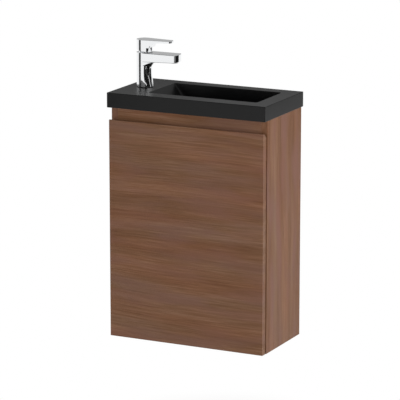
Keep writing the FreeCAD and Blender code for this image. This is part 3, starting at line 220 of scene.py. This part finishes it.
# %% Materials in the making
class Finish(Nodes):
    """A material in the making, with its shader."""

    def __init__(self, name):
        self.material = bpy.data.materials.new(name)
        self.material.use_nodes = True
        super().__init__(self.material.node_tree)
        self.shader = self.tree.nodes["Principled BSDF"]

    def place(self):
        """The three Object coordinates, in metres."""
        point = self.node("SeparateXYZ", inputs={0: self.node("TexCoord").output("Object")})
        return [point.output(k) for k in range(3)]

    def noise(self, x, y, z, detail, roughness=0.5):
        """Noise from 0 to 1 at a point given by three sums."""
        point = self.node("CombineXYZ", inputs={0: x, 1: y, 2: z})
        return self.node("TexNoise", inputs={"Vector": point, "Scale": 1.0, "Detail": detail,
                                             "Roughness": roughness})

    def ramp(self, factor, *stops):
        """A ramp through grey levels or colours; each stop is (place, level or colour)."""
        full = [(p, (c, c, c, 1.0) if isinstance(c, float) else (*c, 1.0)) for p, c in stops]
        return self.node("ValToRGB", {"stops": full}, {0: factor})

    def mix(self, share, first, second, blend="MIX"):
        """The first colour with a share of the second over it."""
        return self.node("Mix", {"data_type": "RGBA", "blend_type": blend},
                         {"Factor": share, "A": first, "B": second}).output(2)

    def set(self, **sockets):
        """Sets the shader's own sockets; words in a name are joined by underscores."""
        for key, value in sockets.items():
            self.plug(self.shader.inputs[key.replace("_", " ")], value)
        return self.material

    def bump(self, height, distance, strength):
        """Relief of that height in metres, fed to the shader's normal."""
        self.set(Normal=self.node("Bump", inputs={"Height": height, "Distance": distance,
                                                  "Strength": strength}))

    def show(self, shader):
        """Makes another shader the one that the surface shows."""
        self.plug(self.tree.nodes["Material Output"].inputs["Surface"], shader)


print("finishes can be written")

# %% [markdown]
# The stage is a white surround, a pale floor and soft lamps. A surround bright enough to look white
# would flood the object with light. So it is white only for rays that reach the eye, or a mirror,
# and dimmer for those that light the object.

# %% White surround
AMBIENT = 0.42
WHITE = (1.0, 1.0, 1.0, 1.0)

world = bpy.data.worlds.new("surround")
world.use_nodes = True
scene.world = world
surround = Nodes(world.node_tree)
backdrop = world.node_tree.nodes["Background"]
surround.plug(backdrop.inputs["Color"], WHITE)
surround.plug(backdrop.inputs["Strength"], surround.seen_directly() * (1.0 - AMBIENT) + AMBIENT)
print("surround lights at", AMBIENT)

# %% [markdown]
# The unit hangs on a wall, so the floor is set well below it, where the camera hardly sees its
# shadow. The floor looks white in the same way as the surround. Right under the unit it stays more
# of an ordinary pale surface, so the soft shadow there is kept for views from above.

# %% Floor
FLOOR_DROP = 0.27
FLOOR_HALF = 40.0
FLOOR_GREY = (0.86, 0.86, 0.86, 1.0)
SHADOW_REACH = (0.14, 0.36)
SHADOW_WHITENESS = 0.7


def flat_sheet(name, corners, material):
    """A flat four-cornered sheet that belongs to the stage."""
    mesh = bpy.data.meshes.new(name)
    mesh.from_pydata(corners, [], [(0, 1, 2, 3)])
    mesh.materials.append(material)
    sheet = bpy.data.objects.new(name, mesh)
    scene.collection.objects.link(sheet)
    return sheet


def level_corners(half, level):
    """The corners of a level square about the origin."""
    return [(-half, -half, level), (half, -half, level), (half, half, level), (-half, half, level)]


floor_finish = Finish("floor_white")
floor_finish.set(Base_Color=FLOOR_GREY, Roughness=0.9, Specular_IOR_Level=0.1)
floor_x, floor_y, _ = floor_finish.place()
from_middle = floor_finish.node("CombineXYZ", inputs={0: floor_x, 1: floor_y})
away = floor_finish.node("VectorMath", {"operation": "LENGTH"}, {0: from_middle}).output("Value")
whiteness = floor_finish.node("MapRange", {"interpolation_type": "SMOOTHSTEP"},
                              {0: away, 1: SHADOW_REACH[0], 2: SHADOW_REACH[1],
                               3: SHADOW_WHITENESS, 4: 1.0})
floor_finish.show(floor_finish.node("MixShader", inputs={
    0: floor_finish.seen_directly() * whiteness,
    1: Value(floor_finish, floor_finish.shader.outputs[0]),
    2: floor_finish.node("Emission")}))
floor_level = cad_low.z - FLOOR_DROP
flat_sheet("floor", level_corners(FLOOR_HALF, floor_level), floor_finish.material)
print("floor at", round(floor_level, 3))

# %% [markdown]
# Small lamps would draw hard shadows under the slab and in the finger gap. Large square ones give
# soft shadows, as a studio's do. The strong one stands at the right, where the side panel is the
# brightest face; the others fill in from above, from the front and from behind.


# %% Lamps
def soft_lamp(name, place, target, size, watts):
    """A square soft box that faces a target point."""
    lamp = bpy.data.objects.new(name, bpy.data.lights.new(name, "AREA"))
    lamp.data.shape = "SQUARE"
    lamp.data.size = size
    lamp.data.energy = watts
    lamp.location = place
    lamp.rotation_euler = (target - Vector(place)).to_track_quat("-Z", "Y").to_euler()
    lamp.visible_glossy = False
    scene.collection.objects.link(lamp)


LAMPS = {"key_right": ((3.2, -1.0, 0.9), 1.8, 112.0), "top_soft": ((0.2, -0.8, 2.6), 1.6, 10.0),
         "front_fill": ((-0.6, -3.3, 0.1), 1.6, 30.0), "back_fill": ((-0.6, 3.2, 1.0), 1.6, 24.0)}
for name, (place, size, watts) in LAMPS.items():
    soft_lamp(name, place, (cad_low + cad_high) / 2, size, watts)
print("lamps:", list(LAMPS))

# %% [markdown]
# Chrome is drawn by what it mirrors, and a white surround alone would leave it blank. A studio puts
# cards round such a piece. Here a grey wall stands far behind, with darker bands just above the
# slab's back edge, and a grey ceiling hangs over all. A dark card at the left draws the line down
# the column's edge. Those at the right leave a slit, which draws a bright line down the column, and
# a slot, which lights an edge of the spout's end. The card high in front and the low strip before
# the slab keep the bowl black. All are seen by mirror rays only, so they neither shade the unit nor
# stand in the picture.

# %% Cards for the mirrors
DARK = 0.01
RIGHT_LOW, RIGHT_HIGH, FAR_LOW = -0.19, 0.28, -0.23
SLOT_LOW, SLOT_HIGH = -0.12, -0.088
RIGHT_START, RIGHT_END = (0.94, -1.166), (1.372, 0.052)
MIDDLE_START, MIDDLE_END = (1.347, 0.207), (1.179, 0.645)
FAR_END = (0.653, 1.181)


def upright(first, last, low, high):
    """The corners of an upright card between two points on the ground."""
    return [(*first, low), (*last, low), (*last, high), (*first, high)]


CARDS = {
    "wall_card": (upright((-4.0, 2.6), (4.0, 2.6), 0.05, 3.2), 0.46),
    "deck_left_card": (upright((-1.2, 0.5), (-0.3, 0.5), 0.10, 0.25), 0.15),
    "deck_right_card": (upright((-0.3, 0.5), (0.6, 0.5), 0.10, 0.25), 0.26),
    "left_card": (upright((-0.67, -0.98), (-1.076, -0.538), -0.27, 0.30), 0.07),
    "right_card": (upright(RIGHT_START, RIGHT_END, RIGHT_LOW, RIGHT_HIGH), DARK),
    "middle_card": (upright(MIDDLE_START, MIDDLE_END, SLOT_HIGH, RIGHT_HIGH), DARK),
    "middle_low_card": (upright(MIDDLE_START, MIDDLE_END, RIGHT_LOW, SLOT_LOW), DARK),
    "far_card": (upright(MIDDLE_END, FAR_END, FAR_LOW, RIGHT_HIGH), DARK),
    "front_card": (upright((-2.5, -1.6), (1.5, -1.6), 0.52, 2.2), DARK),
    "bowl_card": (upright((-0.11, -0.222), (0.35, -0.222), 0.082, 0.112), DARK),
    "ceiling_card": (level_corners(3.0, 2.4), 0.36),
}
for name, (corners, level) in CARDS.items():
    even = Finish(name + "_finish")
    even.show(even.node("Emission", inputs={"Color": (level, level, level, 1.0)}))
    sheet = flat_sheet(name, corners, even.material)
    sheet.visible_camera = sheet.visible_diffuse = False
    sheet.visible_shadow = sheet.visible_transmission = False
print("cards for the chrome:", len(CARDS))

# %% [markdown]
# The cabinet is wrapped in a dark oak foil with a fine straight grain: along the length of the
# door, the rails and the shelf, upright on the sides. A picture of wood would repeat and would not
# follow the boards. Instead the grain is noise drawn out along one axis, bent by a slow noise into
# long sloping bands, with short dark pores on top. Where a board has been handled, along its edges,
# the foil is rubbed a little paler.

# %% Oak foil
X, Y, Z = 0, 1, 2
OAK_DARK = (0.1026, 0.0405, 0.0168)
OAK_MIDDLE = (0.1424, 0.0638, 0.0326)
OAK_PALE = (0.1968, 0.0992, 0.0611)
OAK_BLUSH = (0.1445, 0.0658, 0.0469)
OAK_RUBBED = (0.30, 0.20, 0.14, 1.0)
PORE_SHADE = (0.55, 0.48, 0.42, 1.0)
COOL_TINT, WARM_TINT = (0.91, 1.0, 1.0), (1.0, 0.975, 0.90)
FINE_SHARE, PORE_SHARE, RUBBED_SHARE = 0.24, 0.30, 0.02
WANDER, SLOPE = 0.020, 0.012
GRAIN_RELIEF = 0.00012
EDGE_SHARPNESS = 550.0


def oak(name, along, across, board, shift=0.0, gain=1.0, banded=0.36, blushed=0.66):
    """Oak with its grain along one axis: stretched noise, warped by a slow drift, on a brown ramp.

    The drift adds a few millimetres of wander to the place across the grain, so streaks rise and
    fall like growth rings; bands, streaks, fine lines and pores are noises at four widths of that
    warped place. A slow blush leans the brown towards a greyer pink here and there, and a slower
    swing makes it redder or greener. The rubbed edge is the smallest distance to the four edges of
    the board's box, run through a ramp. Each noise has its waves per metre along the grain, across
    it and into the board.
    """
    foil = Finish(name)
    axes = foil.place()
    run, width, depth = axes[along] + shift, axes[across], axes[3 - along - across]
    drift = foil.noise(run * 2.6, width * 4.0, depth * 5.0 + shift, 1.0)
    warped = width + drift * WANDER + run * SLOPE
    bands = foil.noise(run * 2.4, warped * 34.0, depth * 20.0, 3.0, 0.6)
    streaks = foil.noise(run * 9.0, warped * 380.0, depth * 60.0, 3.0, 0.65)
    fine = foil.noise(run * 16.0, warped * 950.0, depth * 300.0, 2.0, 0.6)
    speckle = foil.noise(run * 45.0, warped * 1900.0, depth * 400.0, 1.0)
    blush = foil.noise(run * 6.0, warped * 30.0 + 7.0, depth * 20.0, 2.0)
    swing = foil.noise(run * 3.0, warped * 20.0 + 19.0, depth * 20.0, 3.0, 0.55)

    dark, middle, pale, pink = ([part * gain for part in colour]
                                for colour in (OAK_DARK, OAK_MIDDLE, OAK_PALE, OAK_BLUSH))
    tone = bands * banded + streaks * (1 - FINE_SHARE - banded) + fine * FINE_SHARE
    brown = foil.ramp(tone, (0.37, dark), (0.50, middle), (0.63, pale))
    warm = foil.mix(foil.ramp(blush, (0.44, 0.0), (0.66, blushed)), brown, (*pink, 1.0))
    tint = foil.ramp(swing, (0.36, COOL_TINT), (0.64, WARM_TINT))
    pores = foil.ramp(speckle, (0.30, 1.0), (0.40, 0.0))
    grained = foil.mix(pores * PORE_SHARE, foil.mix(1.0, warm, tint, "MULTIPLY"), PORE_SHADE,
                       "MULTIPLY")

    low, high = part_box(board)
    edge = abs(axes[along] - low[along]).least(abs(axes[along] - high[along]))
    edge = edge.least(abs(width - low[across])).least(abs(width - high[across]))
    rubbed = foil.ramp(edge * EDGE_SHARPNESS + fine * 0.4, (0.25, 1.0), (0.75, 0.0))
    foil.bump(fine * 0.5 + streaks * 0.5 - pores * 0.6, GRAIN_RELIEF, 0.5)
    return foil.set(Base_Color=foil.mix(rubbed * RUBBED_SHARE, grained, OAK_RUBBED),
                    Roughness=0.52 + fine * 0.10 - bands * 0.06 - rubbed * 0.08,
                    Specular_IOR_Level=0.22)


door_oak = oak("door_oak", X, Z, "door")
# The rail's foil is the door's oak made 1.3 times paler. This is painted light: it makes up for the
# shade that the slab's overhang casts on the recessed rail.
rail_oak_painted_lighter = oak("rail_oak_painted_lighter", X, Z, "grip_rail", shift=0.37, gain=1.30)
side_oak = oak("side_oak", Z, Y, "side_panel_right", shift=0.71, gain=1.03, banded=0.46,
               blushed=1.0)
shelf_oak = oak("shelf_oak", X, Y, "shelf", shift=0.53)
back_oak = oak("back_oak", X, Z, "rear_rail_upper", shift=1.13)
print("oak foils:", [m.name for m in (door_oak, rail_oak_painted_lighter, side_oak, shelf_oak, back_oak)])

# %% [markdown]
# The basin is cast mineral, black right through, with a satin skin. It has no pattern, only a faint
# grain in the gloss and a very slight paler bloom, so the finish is mostly in the roughness and the
# relief.

# %% Cast basin
STONE_LEVEL, STONE_CLOUD, STONE_BLUE = 0.0022, 0.0008, 1.03
SPECK_GREY, SPECK_SHARE = (0.08, 0.08, 0.08, 1.0), 0.08
PEEL_RELIEF = 0.00003


def cast_stone(name):
    """Black satin casting: fine noise in the roughness, a shallow orange-peel relief, pale specks.

    Peel, cloud and specks are even noises of three sizes; the specks are the peaks of the finest.
    """
    stone = Finish(name)
    x, y, z = stone.place()
    peel = stone.noise(x * 420.0, y * 420.0, z * 420.0, 2.0)
    cloud = stone.noise(x * 14.0, y * 14.0, z * 14.0, 3.0)
    peaks = stone.noise(x * 900.0, y * 900.0, z * 900.0, 0.0)
    specks = stone.ramp(peaks, (0.74, 0.0), (0.80, 1.0))
    level = cloud * STONE_CLOUD + STONE_LEVEL
    black = stone.node("CombineColor", inputs={0: level, 1: level, 2: level * STONE_BLUE})
    stone.bump(peel, PEEL_RELIEF, 0.15)
    return stone.set(Base_Color=stone.mix(specks * SPECK_SHARE, black, SPECK_GREY),
                     Roughness=0.30 + peel * 0.06 + cloud * 0.05, Specular_IOR_Level=0.262)


basin_black = cast_stone("basin_black")
print("casting:", basin_black.name)

# %% [markdown]
# Metal parts are chrome, brass and bright zinc. Real plating is never one even mirror: wiping
# leaves faint streaks, so the roughness wanders a little. Base colour stays constant, as a metal's
# colour is its reflection.

# %% Metals
STREAK_STRETCH = 0.4
PLATING_GRAIN, PLATING_RELIEF = 900.0, 0.00001


def plated(name, colour, gloss, wander, scale):
    """Metal with a constant colour and a roughness that wanders with noise of the given scale."""
    metal = Finish(name)
    x, y, z = metal.place()
    smear = metal.noise(x * scale, y * scale, z * scale * STREAK_STRETCH, 3.0)
    grain = metal.noise(x * PLATING_GRAIN, y * PLATING_GRAIN, z * PLATING_GRAIN, 1.0)
    metal.bump(grain, PLATING_RELIEF, 0.15)
    return metal.set(Base_Color=colour, Metallic=1.0, Roughness=smear * wander + gloss)


tap_chrome = plated("tap_chrome_finish", (0.86, 0.87, 0.88, 1.0), 0.03, 0.05, 60.0)
brass = plated("brass_finish", (0.60, 0.42, 0.19, 1.0), 0.24, 0.16, 90.0)
zinc = plated("zinc_finish", (0.62, 0.63, 0.65, 1.0), 0.24, 0.18, 150.0)
print("metals:", [m.name for m in (tap_chrome, brass, zinc)])

# %% [markdown]
# The trap, its nuts and the hanger cases are moulded plastic. Moulded skin has a fine even texture
# and slight flow marks, so colour, roughness and relief all carry a little noise.

# %% Plastics, rubber and beech
FLOW_SHADE = 0.86
MOULD_RELIEF = 0.00005


def moulded(name, colour, roughness, texture):
    """Moulded plastic or rubber: slow tint noise, fine relief, roughness that follows it."""
    mould = Finish(name)
    x, y, z = mould.place()
    grain = mould.noise(x * texture, y * texture, z * texture, 2.0)
    flow = mould.noise(x * 18.0, y * 18.0, z * 30.0, 2.0)
    darker = (*(part * FLOW_SHADE for part in colour[:3]), 1.0)
    mould.bump(grain, MOULD_RELIEF, 0.4)
    return mould.set(Base_Color=mould.mix(flow, colour, darker),
                     Roughness=grain * 0.12 + roughness, Specular_IOR_Level=0.4)


white_plastic = moulded("white_plastic_finish", (0.78, 0.78, 0.76, 1.0), 0.34, 700.0)
black_rubber = moulded("black_rubber_finish", (0.022, 0.022, 0.023, 1.0), 0.62, 900.0)
clear_bumper = moulded("bumper_finish", (0.62, 0.63, 0.63, 1.0), 0.20, 500.0)
beech = moulded("beech_finish", (0.52, 0.36, 0.21, 1.0), 0.60, 800.0)
print("moulded:", [m.name for m in (white_plastic, black_rubber, clear_bumper, beech)])

# %% [markdown]
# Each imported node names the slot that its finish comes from, so one table from slots to finishes
# dresses them all. The shelf and the bottom lie flat, and the rear rails are cut from other lengths
# of foil, so a second table gives these four boards foils of their own.

# %% Dress the nodes
FINISHES = {"basin_stone": basin_black, "door_veneer": door_oak, "rail_veneer": rail_oak_painted_lighter,
            "side_veneer": side_oak, "beech": beech, "tap_chrome": tap_chrome, "brass": brass,
            "zinc_steel": zinc, "white_plastic": white_plastic, "black_rubber": black_rubber,
            "clear_bumper": clear_bumper}
BOARDS = {"shelf": shelf_oak, "bottom_panel": shelf_oak, "rear_rail_upper": back_oak,
          "rear_rail_lower": back_oak}
for name, node in nodes.items():
    for slot in node.material_slots:
        slot.material = BOARDS.get(name, FINISHES[slot.material.name])
print("dressed", len(nodes), "nodes")

# %% [markdown]
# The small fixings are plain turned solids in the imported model. Here they get their threads,
# recesses and domes. A thread could be cut with a screw modifier, but a surface worked out on a
# grid is exact and light: one parameter runs along the axis, the other round it, and the radius is
# a formula of both.


# %% Grids round an axis
def about_axis(origin, axis, sign, along, radius, turn):
    """Points at a radius and a turn about an axis.

    point = origin + axis * along + (first * cos(turn) + second * sin(turn)) * radius, where first
    and second are the two other axes.
    """
    unit = np.eye(3)
    first, second = unit[(axis + 1) % 3], sign * unit[(axis + 2) % 3]
    along, radius, turn = np.broadcast_arrays(along, radius, turn)
    return (origin + along[..., None] * sign * unit[axis]
            + (radius * np.cos(turn))[..., None] * first
            + (radius * np.sin(turn))[..., None] * second)


def turns(count):
    """Evenly spaced angles round a full turn, as one row."""
    return np.arange(count)[None, :] * (2 * np.pi / count)


def skin(grid, ring):
    """Points and faces of a closed skin: rows run along and columns wrap round.

    A ring also joins its last row to its first; any other grid is closed by a point at the middle
    of each end.
    """
    rows, columns = grid.shape[:2]
    index = np.arange(rows * columns).reshape(rows, columns)
    lower = index if ring else index[:-1]
    upper = np.roll(index, -1, 0) if ring else index[1:]
    quads = np.stack([lower, np.roll(lower, -1, 1), np.roll(upper, -1, 1), upper], -1)
    quads = quads.reshape(-1, 4).tolist()
    points = grid.reshape(-1, 3)
    if ring:
        return points, quads
    points = np.vstack([points, grid[0].mean(0), grid[-1].mean(0)])
    start, end = np.full(columns, rows * columns), np.full(columns, rows * columns + 1)
    caps = np.vstack([np.stack([start, np.roll(index[0], -1), index[0]], -1),
                      np.stack([end, index[-1], np.roll(index[-1], -1)], -1)])
    return points, quads + caps.tolist()


print("grids close into skins")

# %% [markdown]
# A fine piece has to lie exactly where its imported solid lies. It could be placed by hand, but its
# box can be read from the node's own points. Like fasteners share one node, so the points are first
# cut into islands. Then all the grids of a node become one mesh, which takes the node's place.

# %% Grids into pieces
SHARP_ANGLE = math.radians(38.0)


def fine_piece(name, grids, node, ring=False, stands_in=True):
    """One mesh made of all the grids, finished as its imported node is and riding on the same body.

    It is shown in place of that node, unless it only adds to it.
    """
    points, faces, count = [], [], 0
    for grid in grids:
        more, quads = skin(grid, ring)
        faces += [[k + count for k in face] for face in quads]
        points.append(more)
        count += len(more)
    mesh = bpy.data.meshes.new(name)
    mesh.from_pydata(np.vstack(points), [], faces)
    mesh.shade_smooth()
    mesh.set_sharp_from_angle(angle=SHARP_ANGLE)
    mesh.materials.append(FINISHES[slot_of[node]])
    piece = bpy.data.objects.new(name, mesh)
    scene.collection.objects.link(piece)
    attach(piece, nodes[node]["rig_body"])
    if stands_in:
        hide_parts(node)
    print(name, "faces:", len(faces))


def islands(node, axes, gap=0.004):
    """Boxes of the separate solids of a node, cut along each named axis wherever a gap shows."""
    groups = [np.array([v.co for v in nodes[node].data.vertices])]
    for axis in axes:
        cut = []
        for group in groups:
            group = group[np.argsort(group[:, axis])]
            cut += np.split(group, np.flatnonzero(np.diff(group[:, axis]) > gap) + 1)
        groups = cut
    return [(group.min(0), group.max(0)) for group in groups]


print("helpers for the fine pieces ready")

# %% [markdown]
# The tap is held by a threaded stud. A real thread is a ridge wound as a helix. It could be carried
# along a coil, but then it would only touch the rod. Here the rod's own radius is a triangle wave
# of the height less the turn: each full turn moves the wave by one pitch.

# %% Threaded stud
ROWS_PER_PITCH = 8
CHAMFER_SHARE = 1.2
STUD_PITCH, STUD_DEPTH = 0.00125, 0.0007


def wound(along, turn, pitch):
    """Triangle wave from 0 to 1 that climbs by one pitch in a turn."""
    phase = along / pitch - turn / (2 * np.pi)
    return 1 - np.abs(2 * (phase - np.floor(phase)) - 1)


def threaded_rod(low, high, pitch, depth, columns=32):
    """An upright rod that fills a box.

    radius = half the width - depth * (1 - wave), less a chamfer at both ends.
    """
    length, radius = (high - low)[Z], (high - low)[X] / 2
    origin = (low + high) / 2
    origin[Z] = low[Z]
    along = np.linspace(0, length, int(length / pitch * ROWS_PER_PITCH))[:, None]
    turn = turns(columns)
    chamfer = 1 - np.clip(np.minimum(along, length - along) / pitch, 0, 1)
    bulge = radius - depth * (1 - wound(along, turn, pitch)) - depth * CHAMFER_SHARE * chamfer
    return about_axis(origin, Z, 1, along, bulge, turn)


stud = [threaded_rod(*box, STUD_PITCH, STUD_DEPTH) for box in islands("tap_stud", ())]
fine_piece("tap_stud_threaded", stud, "tap_stud")

# %% [markdown]
# The waste's tail carries a coarse thread for its back nut. The strainer above it keeps its packed
# shape, with its slots, so the thread is a thin sleeve added round the tail, between the two nuts.

# %% Threaded tail
TAIL_PITCH, TAIL_DEPTH, TAIL_RADIUS = 0.0025, 0.0009, 0.0209


def threaded_sleeve(origin, length, radius, pitch, depth, columns=64):
    """A thin upright sleeve: its outside winds as a thread, and its inside is a plain bore.

    outside radius = radius - depth * (1 - fade * wave), where the fade falls to 0 at both ends.
    """
    turn = turns(columns)
    out = np.linspace(0, length, int(length / pitch * ROWS_PER_PITCH))[:, None]
    fade = np.clip(np.minimum(out, length - out) / pitch, 0, 1)
    thread = radius - depth + depth * fade * wound(out, turn, pitch)
    outer = about_axis(origin, Z, 1, out, thread, turn)
    inner = about_axis(origin, Z, 1, np.array([[length], [0.0]]), radius - 2 * depth, turn)
    return np.concatenate([outer, inner])


tail_low, tail_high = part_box("waste_strainer")
tail_start, tail_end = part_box("trap_union_nut")[1].z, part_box("waste_back_nut")[0].z
tail_foot = np.array([(tail_low.x + tail_high.x) / 2, (tail_low.y + tail_high.y) / 2, tail_start])
tail = threaded_sleeve(tail_foot, tail_end - tail_start, TAIL_RADIUS, TAIL_PITCH, TAIL_DEPTH)
fine_piece("waste_tail_thread", [tail], "waste_strainer", ring=True, stands_in=False)

# %% [markdown]
# Hinges are fixed with cross-headed screws. One surface makes a whole screw: it starts at the tip,
# climbs the shank with the same wound wave, steps out under the head, and comes inwards over the
# head's top. There the height is lowered inside a cross, which the polar grid draws from the
# smaller and the larger of the two distances to its arms.

# %% Cross-headed screws
SCREW_PITCH = 0.0018
SCREW_ROWS_PER_PITCH = 10
CROSS_STEEPNESS = 3.0


def cross_dip(radius, turn, arm, reach):
    """1 inside a cross and 0 outside.

    The edge is where the nearer arm's distance over its half width, or the farther one's over the
    reach, whichever is more, comes to 1.
    """
    wide, tall = np.abs(radius * np.cos(turn)), np.abs(radius * np.sin(turn))
    edge = np.maximum(np.minimum(wide, tall) / arm, np.maximum(wide, tall) / reach)
    return np.clip((1 - edge) * CROSS_STEEPNESS, 0, 1)


def screw(low, high, axis, sign, columns=64):
    """A screw that fills a box, its head at the far end along sign * axis.

    Shank: radius = core + ridge * wave, shrinking to a point at the tip. Head: a cone, a rim and a
    top whose height is a shallow dome less the cross.
    """
    size = high - low
    length, head = size[axis], size[(axis + 1) % 3] / 2
    core, ridge, tip = head * 0.40, head * 0.17, head * 0.9
    thick, arm, reach = head * 0.52, head * 0.17, head * 0.62
    rim_low, rim_high, cross_depth = thick * 0.45, thick * 0.2, thick * 0.75
    origin = (low + high) / 2
    origin[axis] = low[axis] if sign > 0 else high[axis]
    turn = turns(columns)
    rows = int((length - thick) / SCREW_PITCH * SCREW_ROWS_PER_PITCH)
    shank = np.linspace(0, length - thick, rows)[:, None]
    point = np.clip(shank / tip, 0.12, 1)
    thread = (core + ridge * wound(shank, turn, SCREW_PITCH)) * point
    ring = np.linspace(0.985, 0.03, 22)[:, None] * head
    dome = length - rim_high * (ring / head) ** 4
    top = dome - cross_depth * cross_dip(ring, turn, arm, reach)
    return np.concatenate([
        about_axis(origin, axis, sign, shank, thread, turn),
        about_axis(origin, axis, sign, length - np.array([[rim_low], [rim_high]]), head, turn),
        about_axis(origin, axis, sign, top, ring, turn)])


SCREWS = {"hinge_plate_screws": (X, 1, (Z,)), "hinge_arm_screws": (X, 1, (Z,)),
          "hinge_cup_screws": (Y, 1, (Z,)), "hanger_adjusters": (Y, -1, (X, Z))}
for node, (axis, sign, apart) in SCREWS.items():
    fine_piece(node + "_cut", [screw(*box, axis, sign) for box in islands(node, apart)], node)

# %% [markdown]
# The panels are drawn together by cam locks. A cam lock is a drum with a raised rim and a cross in
# its face. The cross could be cut with a boolean, but the screws' formula for it serves here too.

# %% Cam locks
CAM_GAP = 0.02
CAM_CHAMFER, CAM_RIM_DROP = 0.0004, 0.0005
CAM_SUNK, CAM_CROSS_DEPTH = 0.0006, 0.0022
CAM_RIM, CAM_RIM_STEEPNESS = 0.86, 20
REAR_HALF = -0.1


def cam_lock(low, high):
    """A drum with a raised rim and a cross in the face that can be reached.

    The axis is the shortest side of the box; the face is the one towards the cabinet's inside or
    underside.
    """
    size = high - low
    axis = int(np.argmin(size))
    sign = -1 if axis == Z or high[Y] > REAR_HALF else 1
    radius, length = size[(axis + 1) % 3] / 2, size[axis]
    origin = (low + high) / 2
    origin[axis] = low[axis] if sign > 0 else high[axis]
    turn = turns(64)
    height = np.array([[0.0], [CAM_CHAMFER], [length - CAM_RIM_DROP]])
    drum = radius - np.array([[CAM_CHAMFER], [0.0], [0.0]])
    ring = np.linspace(0.965, 0.02, 26)[:, None] * radius
    sunk = CAM_SUNK * np.clip((CAM_RIM - ring / radius) * CAM_RIM_STEEPNESS, 0, 1)
    cross = CAM_CROSS_DEPTH * cross_dip(ring, turn, radius * 0.13, radius * 0.60)
    return np.concatenate([about_axis(origin, axis, sign, height, drum, turn),
                           about_axis(origin, axis, sign, length - sunk - cross, ring, turn)])


locks = [cam_lock(*box) for box in islands("cam_locks", (X, Y, Z), CAM_GAP)]
fine_piece("cam_locks_cut", locks, "cam_locks")

# %% [markdown]
# Two clear bumpers soften the door's closing. Part of a sphere would do, but a real one is a low
# dome on a short rim, so its height falls with the square of the distance from the middle.

# %% Door bumpers
DOME_FALL = 0.7


def bumper(low, high):
    """A low dome on the panel's front edge, standing on a short rim.

    height = rise * (1 - fall * (distance / radius) squared)
    """
    radius, rise = (high - low)[X] / 2, (high - low)[Y]
    origin = (low + high) / 2
    origin[Y] = high[Y]
    turn = turns(40)
    ring = np.linspace(1.0, 0.03, 16)[:, None]
    dome = rise * (1 - DOME_FALL * ring ** 2)
    return np.concatenate([about_axis(origin, Y, -1, 0.0, np.array([[radius]]), turn),
                           about_axis(origin, Y, -1, dome, radius * ring, turn)])


domes = [bumper(*box) for box in islands("door_bumpers", (Z,))]
fine_piece("door_bumpers_domed", domes, "door_bumpers")

# %% [markdown]
# Under the spout sits the aerator: a chromed sleeve with fine flutes for the fingers, round a
# plastic insert with a mesh that breaks the water into bubbles. The sleeve is a ring whose outside
# is pressed in by a cosine of the turn, and the insert is a disc whose underside is dimpled by two
# crossed waves.

# %% Aerator
FLUTES, FLUTE_DEPTH = 24, 0.0006
COLUMNS_PER_FLUTE = 8
MESH_PITCH, MESH_DEPTH = 0.0014, 0.0011
DISC_HEART = 0.02


def fluted_ring(low, high, bore):
    """A ring: its outside is fluted between two smooth rims, and its inside is a plain bore.

    outside radius = radius - depth * (1 - cos(flutes * turn)) / 2
    """
    radius, height = (high - low)[X] / 2, (high - low)[Z]
    origin = (low + high) / 2
    origin[Z] = low[Z]
    turn = turns(FLUTES * COLUMNS_PER_FLUTE)
    press = FLUTE_DEPTH * (1 - np.cos(FLUTES * turn)) / 2
    out = np.array([[0.0], [0.06], [0.12], [0.2], [0.8], [0.88], [1.0]]) * height
    cut = np.array([[0.0], [0.0], [0.0], [1.0], [1.0], [0.0], [0.0]]) * press
    rim = np.array([[0.05], [0.0], [0.0], [0.0], [0.0], [0.0], [0.0]]) * radius
    outer = about_axis(origin, Z, 1, out, radius - cut - rim, turn)
    inner = about_axis(origin, Z, 1, np.array([[1.0], [0.0]]) * height, bore, turn)
    return np.concatenate([outer, inner])


def dimpled_disc(low, high):
    """A disc whose underside is dimpled by two crossed waves, fading out at the rim.

    hollow = depth * (cos(pi * x / pitch) * cos(pi * y / pitch)) squared
    """
    radius, height = (high - low)[X] / 2, (high - low)[Z]
    origin = (low + high) / 2
    origin[Z] = low[Z]
    turn = turns(128)
    ring = np.linspace(DISC_HEART, 1.0, 60)[:, None] * radius
    x, y = ring * np.cos(turn), ring * np.sin(turn)
    waves = np.cos(np.pi * x / MESH_PITCH) * np.cos(np.pi * y / MESH_PITCH)
    under = MESH_DEPTH * waves ** 2 * np.clip((radius - ring) / MESH_PITCH, 0, 1)
    top = np.array([[radius], [radius * DISC_HEART]])
    return np.concatenate([about_axis(origin, Z, 1, under, ring, turn),
                           about_axis(origin, Z, 1, height, top, turn)])


sleeve_box = islands("aerator_sleeve", ())[0]
disc_box = islands("aerator_disc", ())[0]
disc_radius = (disc_box[1] - disc_box[0])[X] / 2
fine_piece("aerator_sleeve_fluted", [fluted_ring(*sleeve_box, disc_radius)], "aerator_sleeve",
           ring=True)
fine_piece("aerator_disc_mesh", [dimpled_disc(*disc_box)], "aerator_disc")
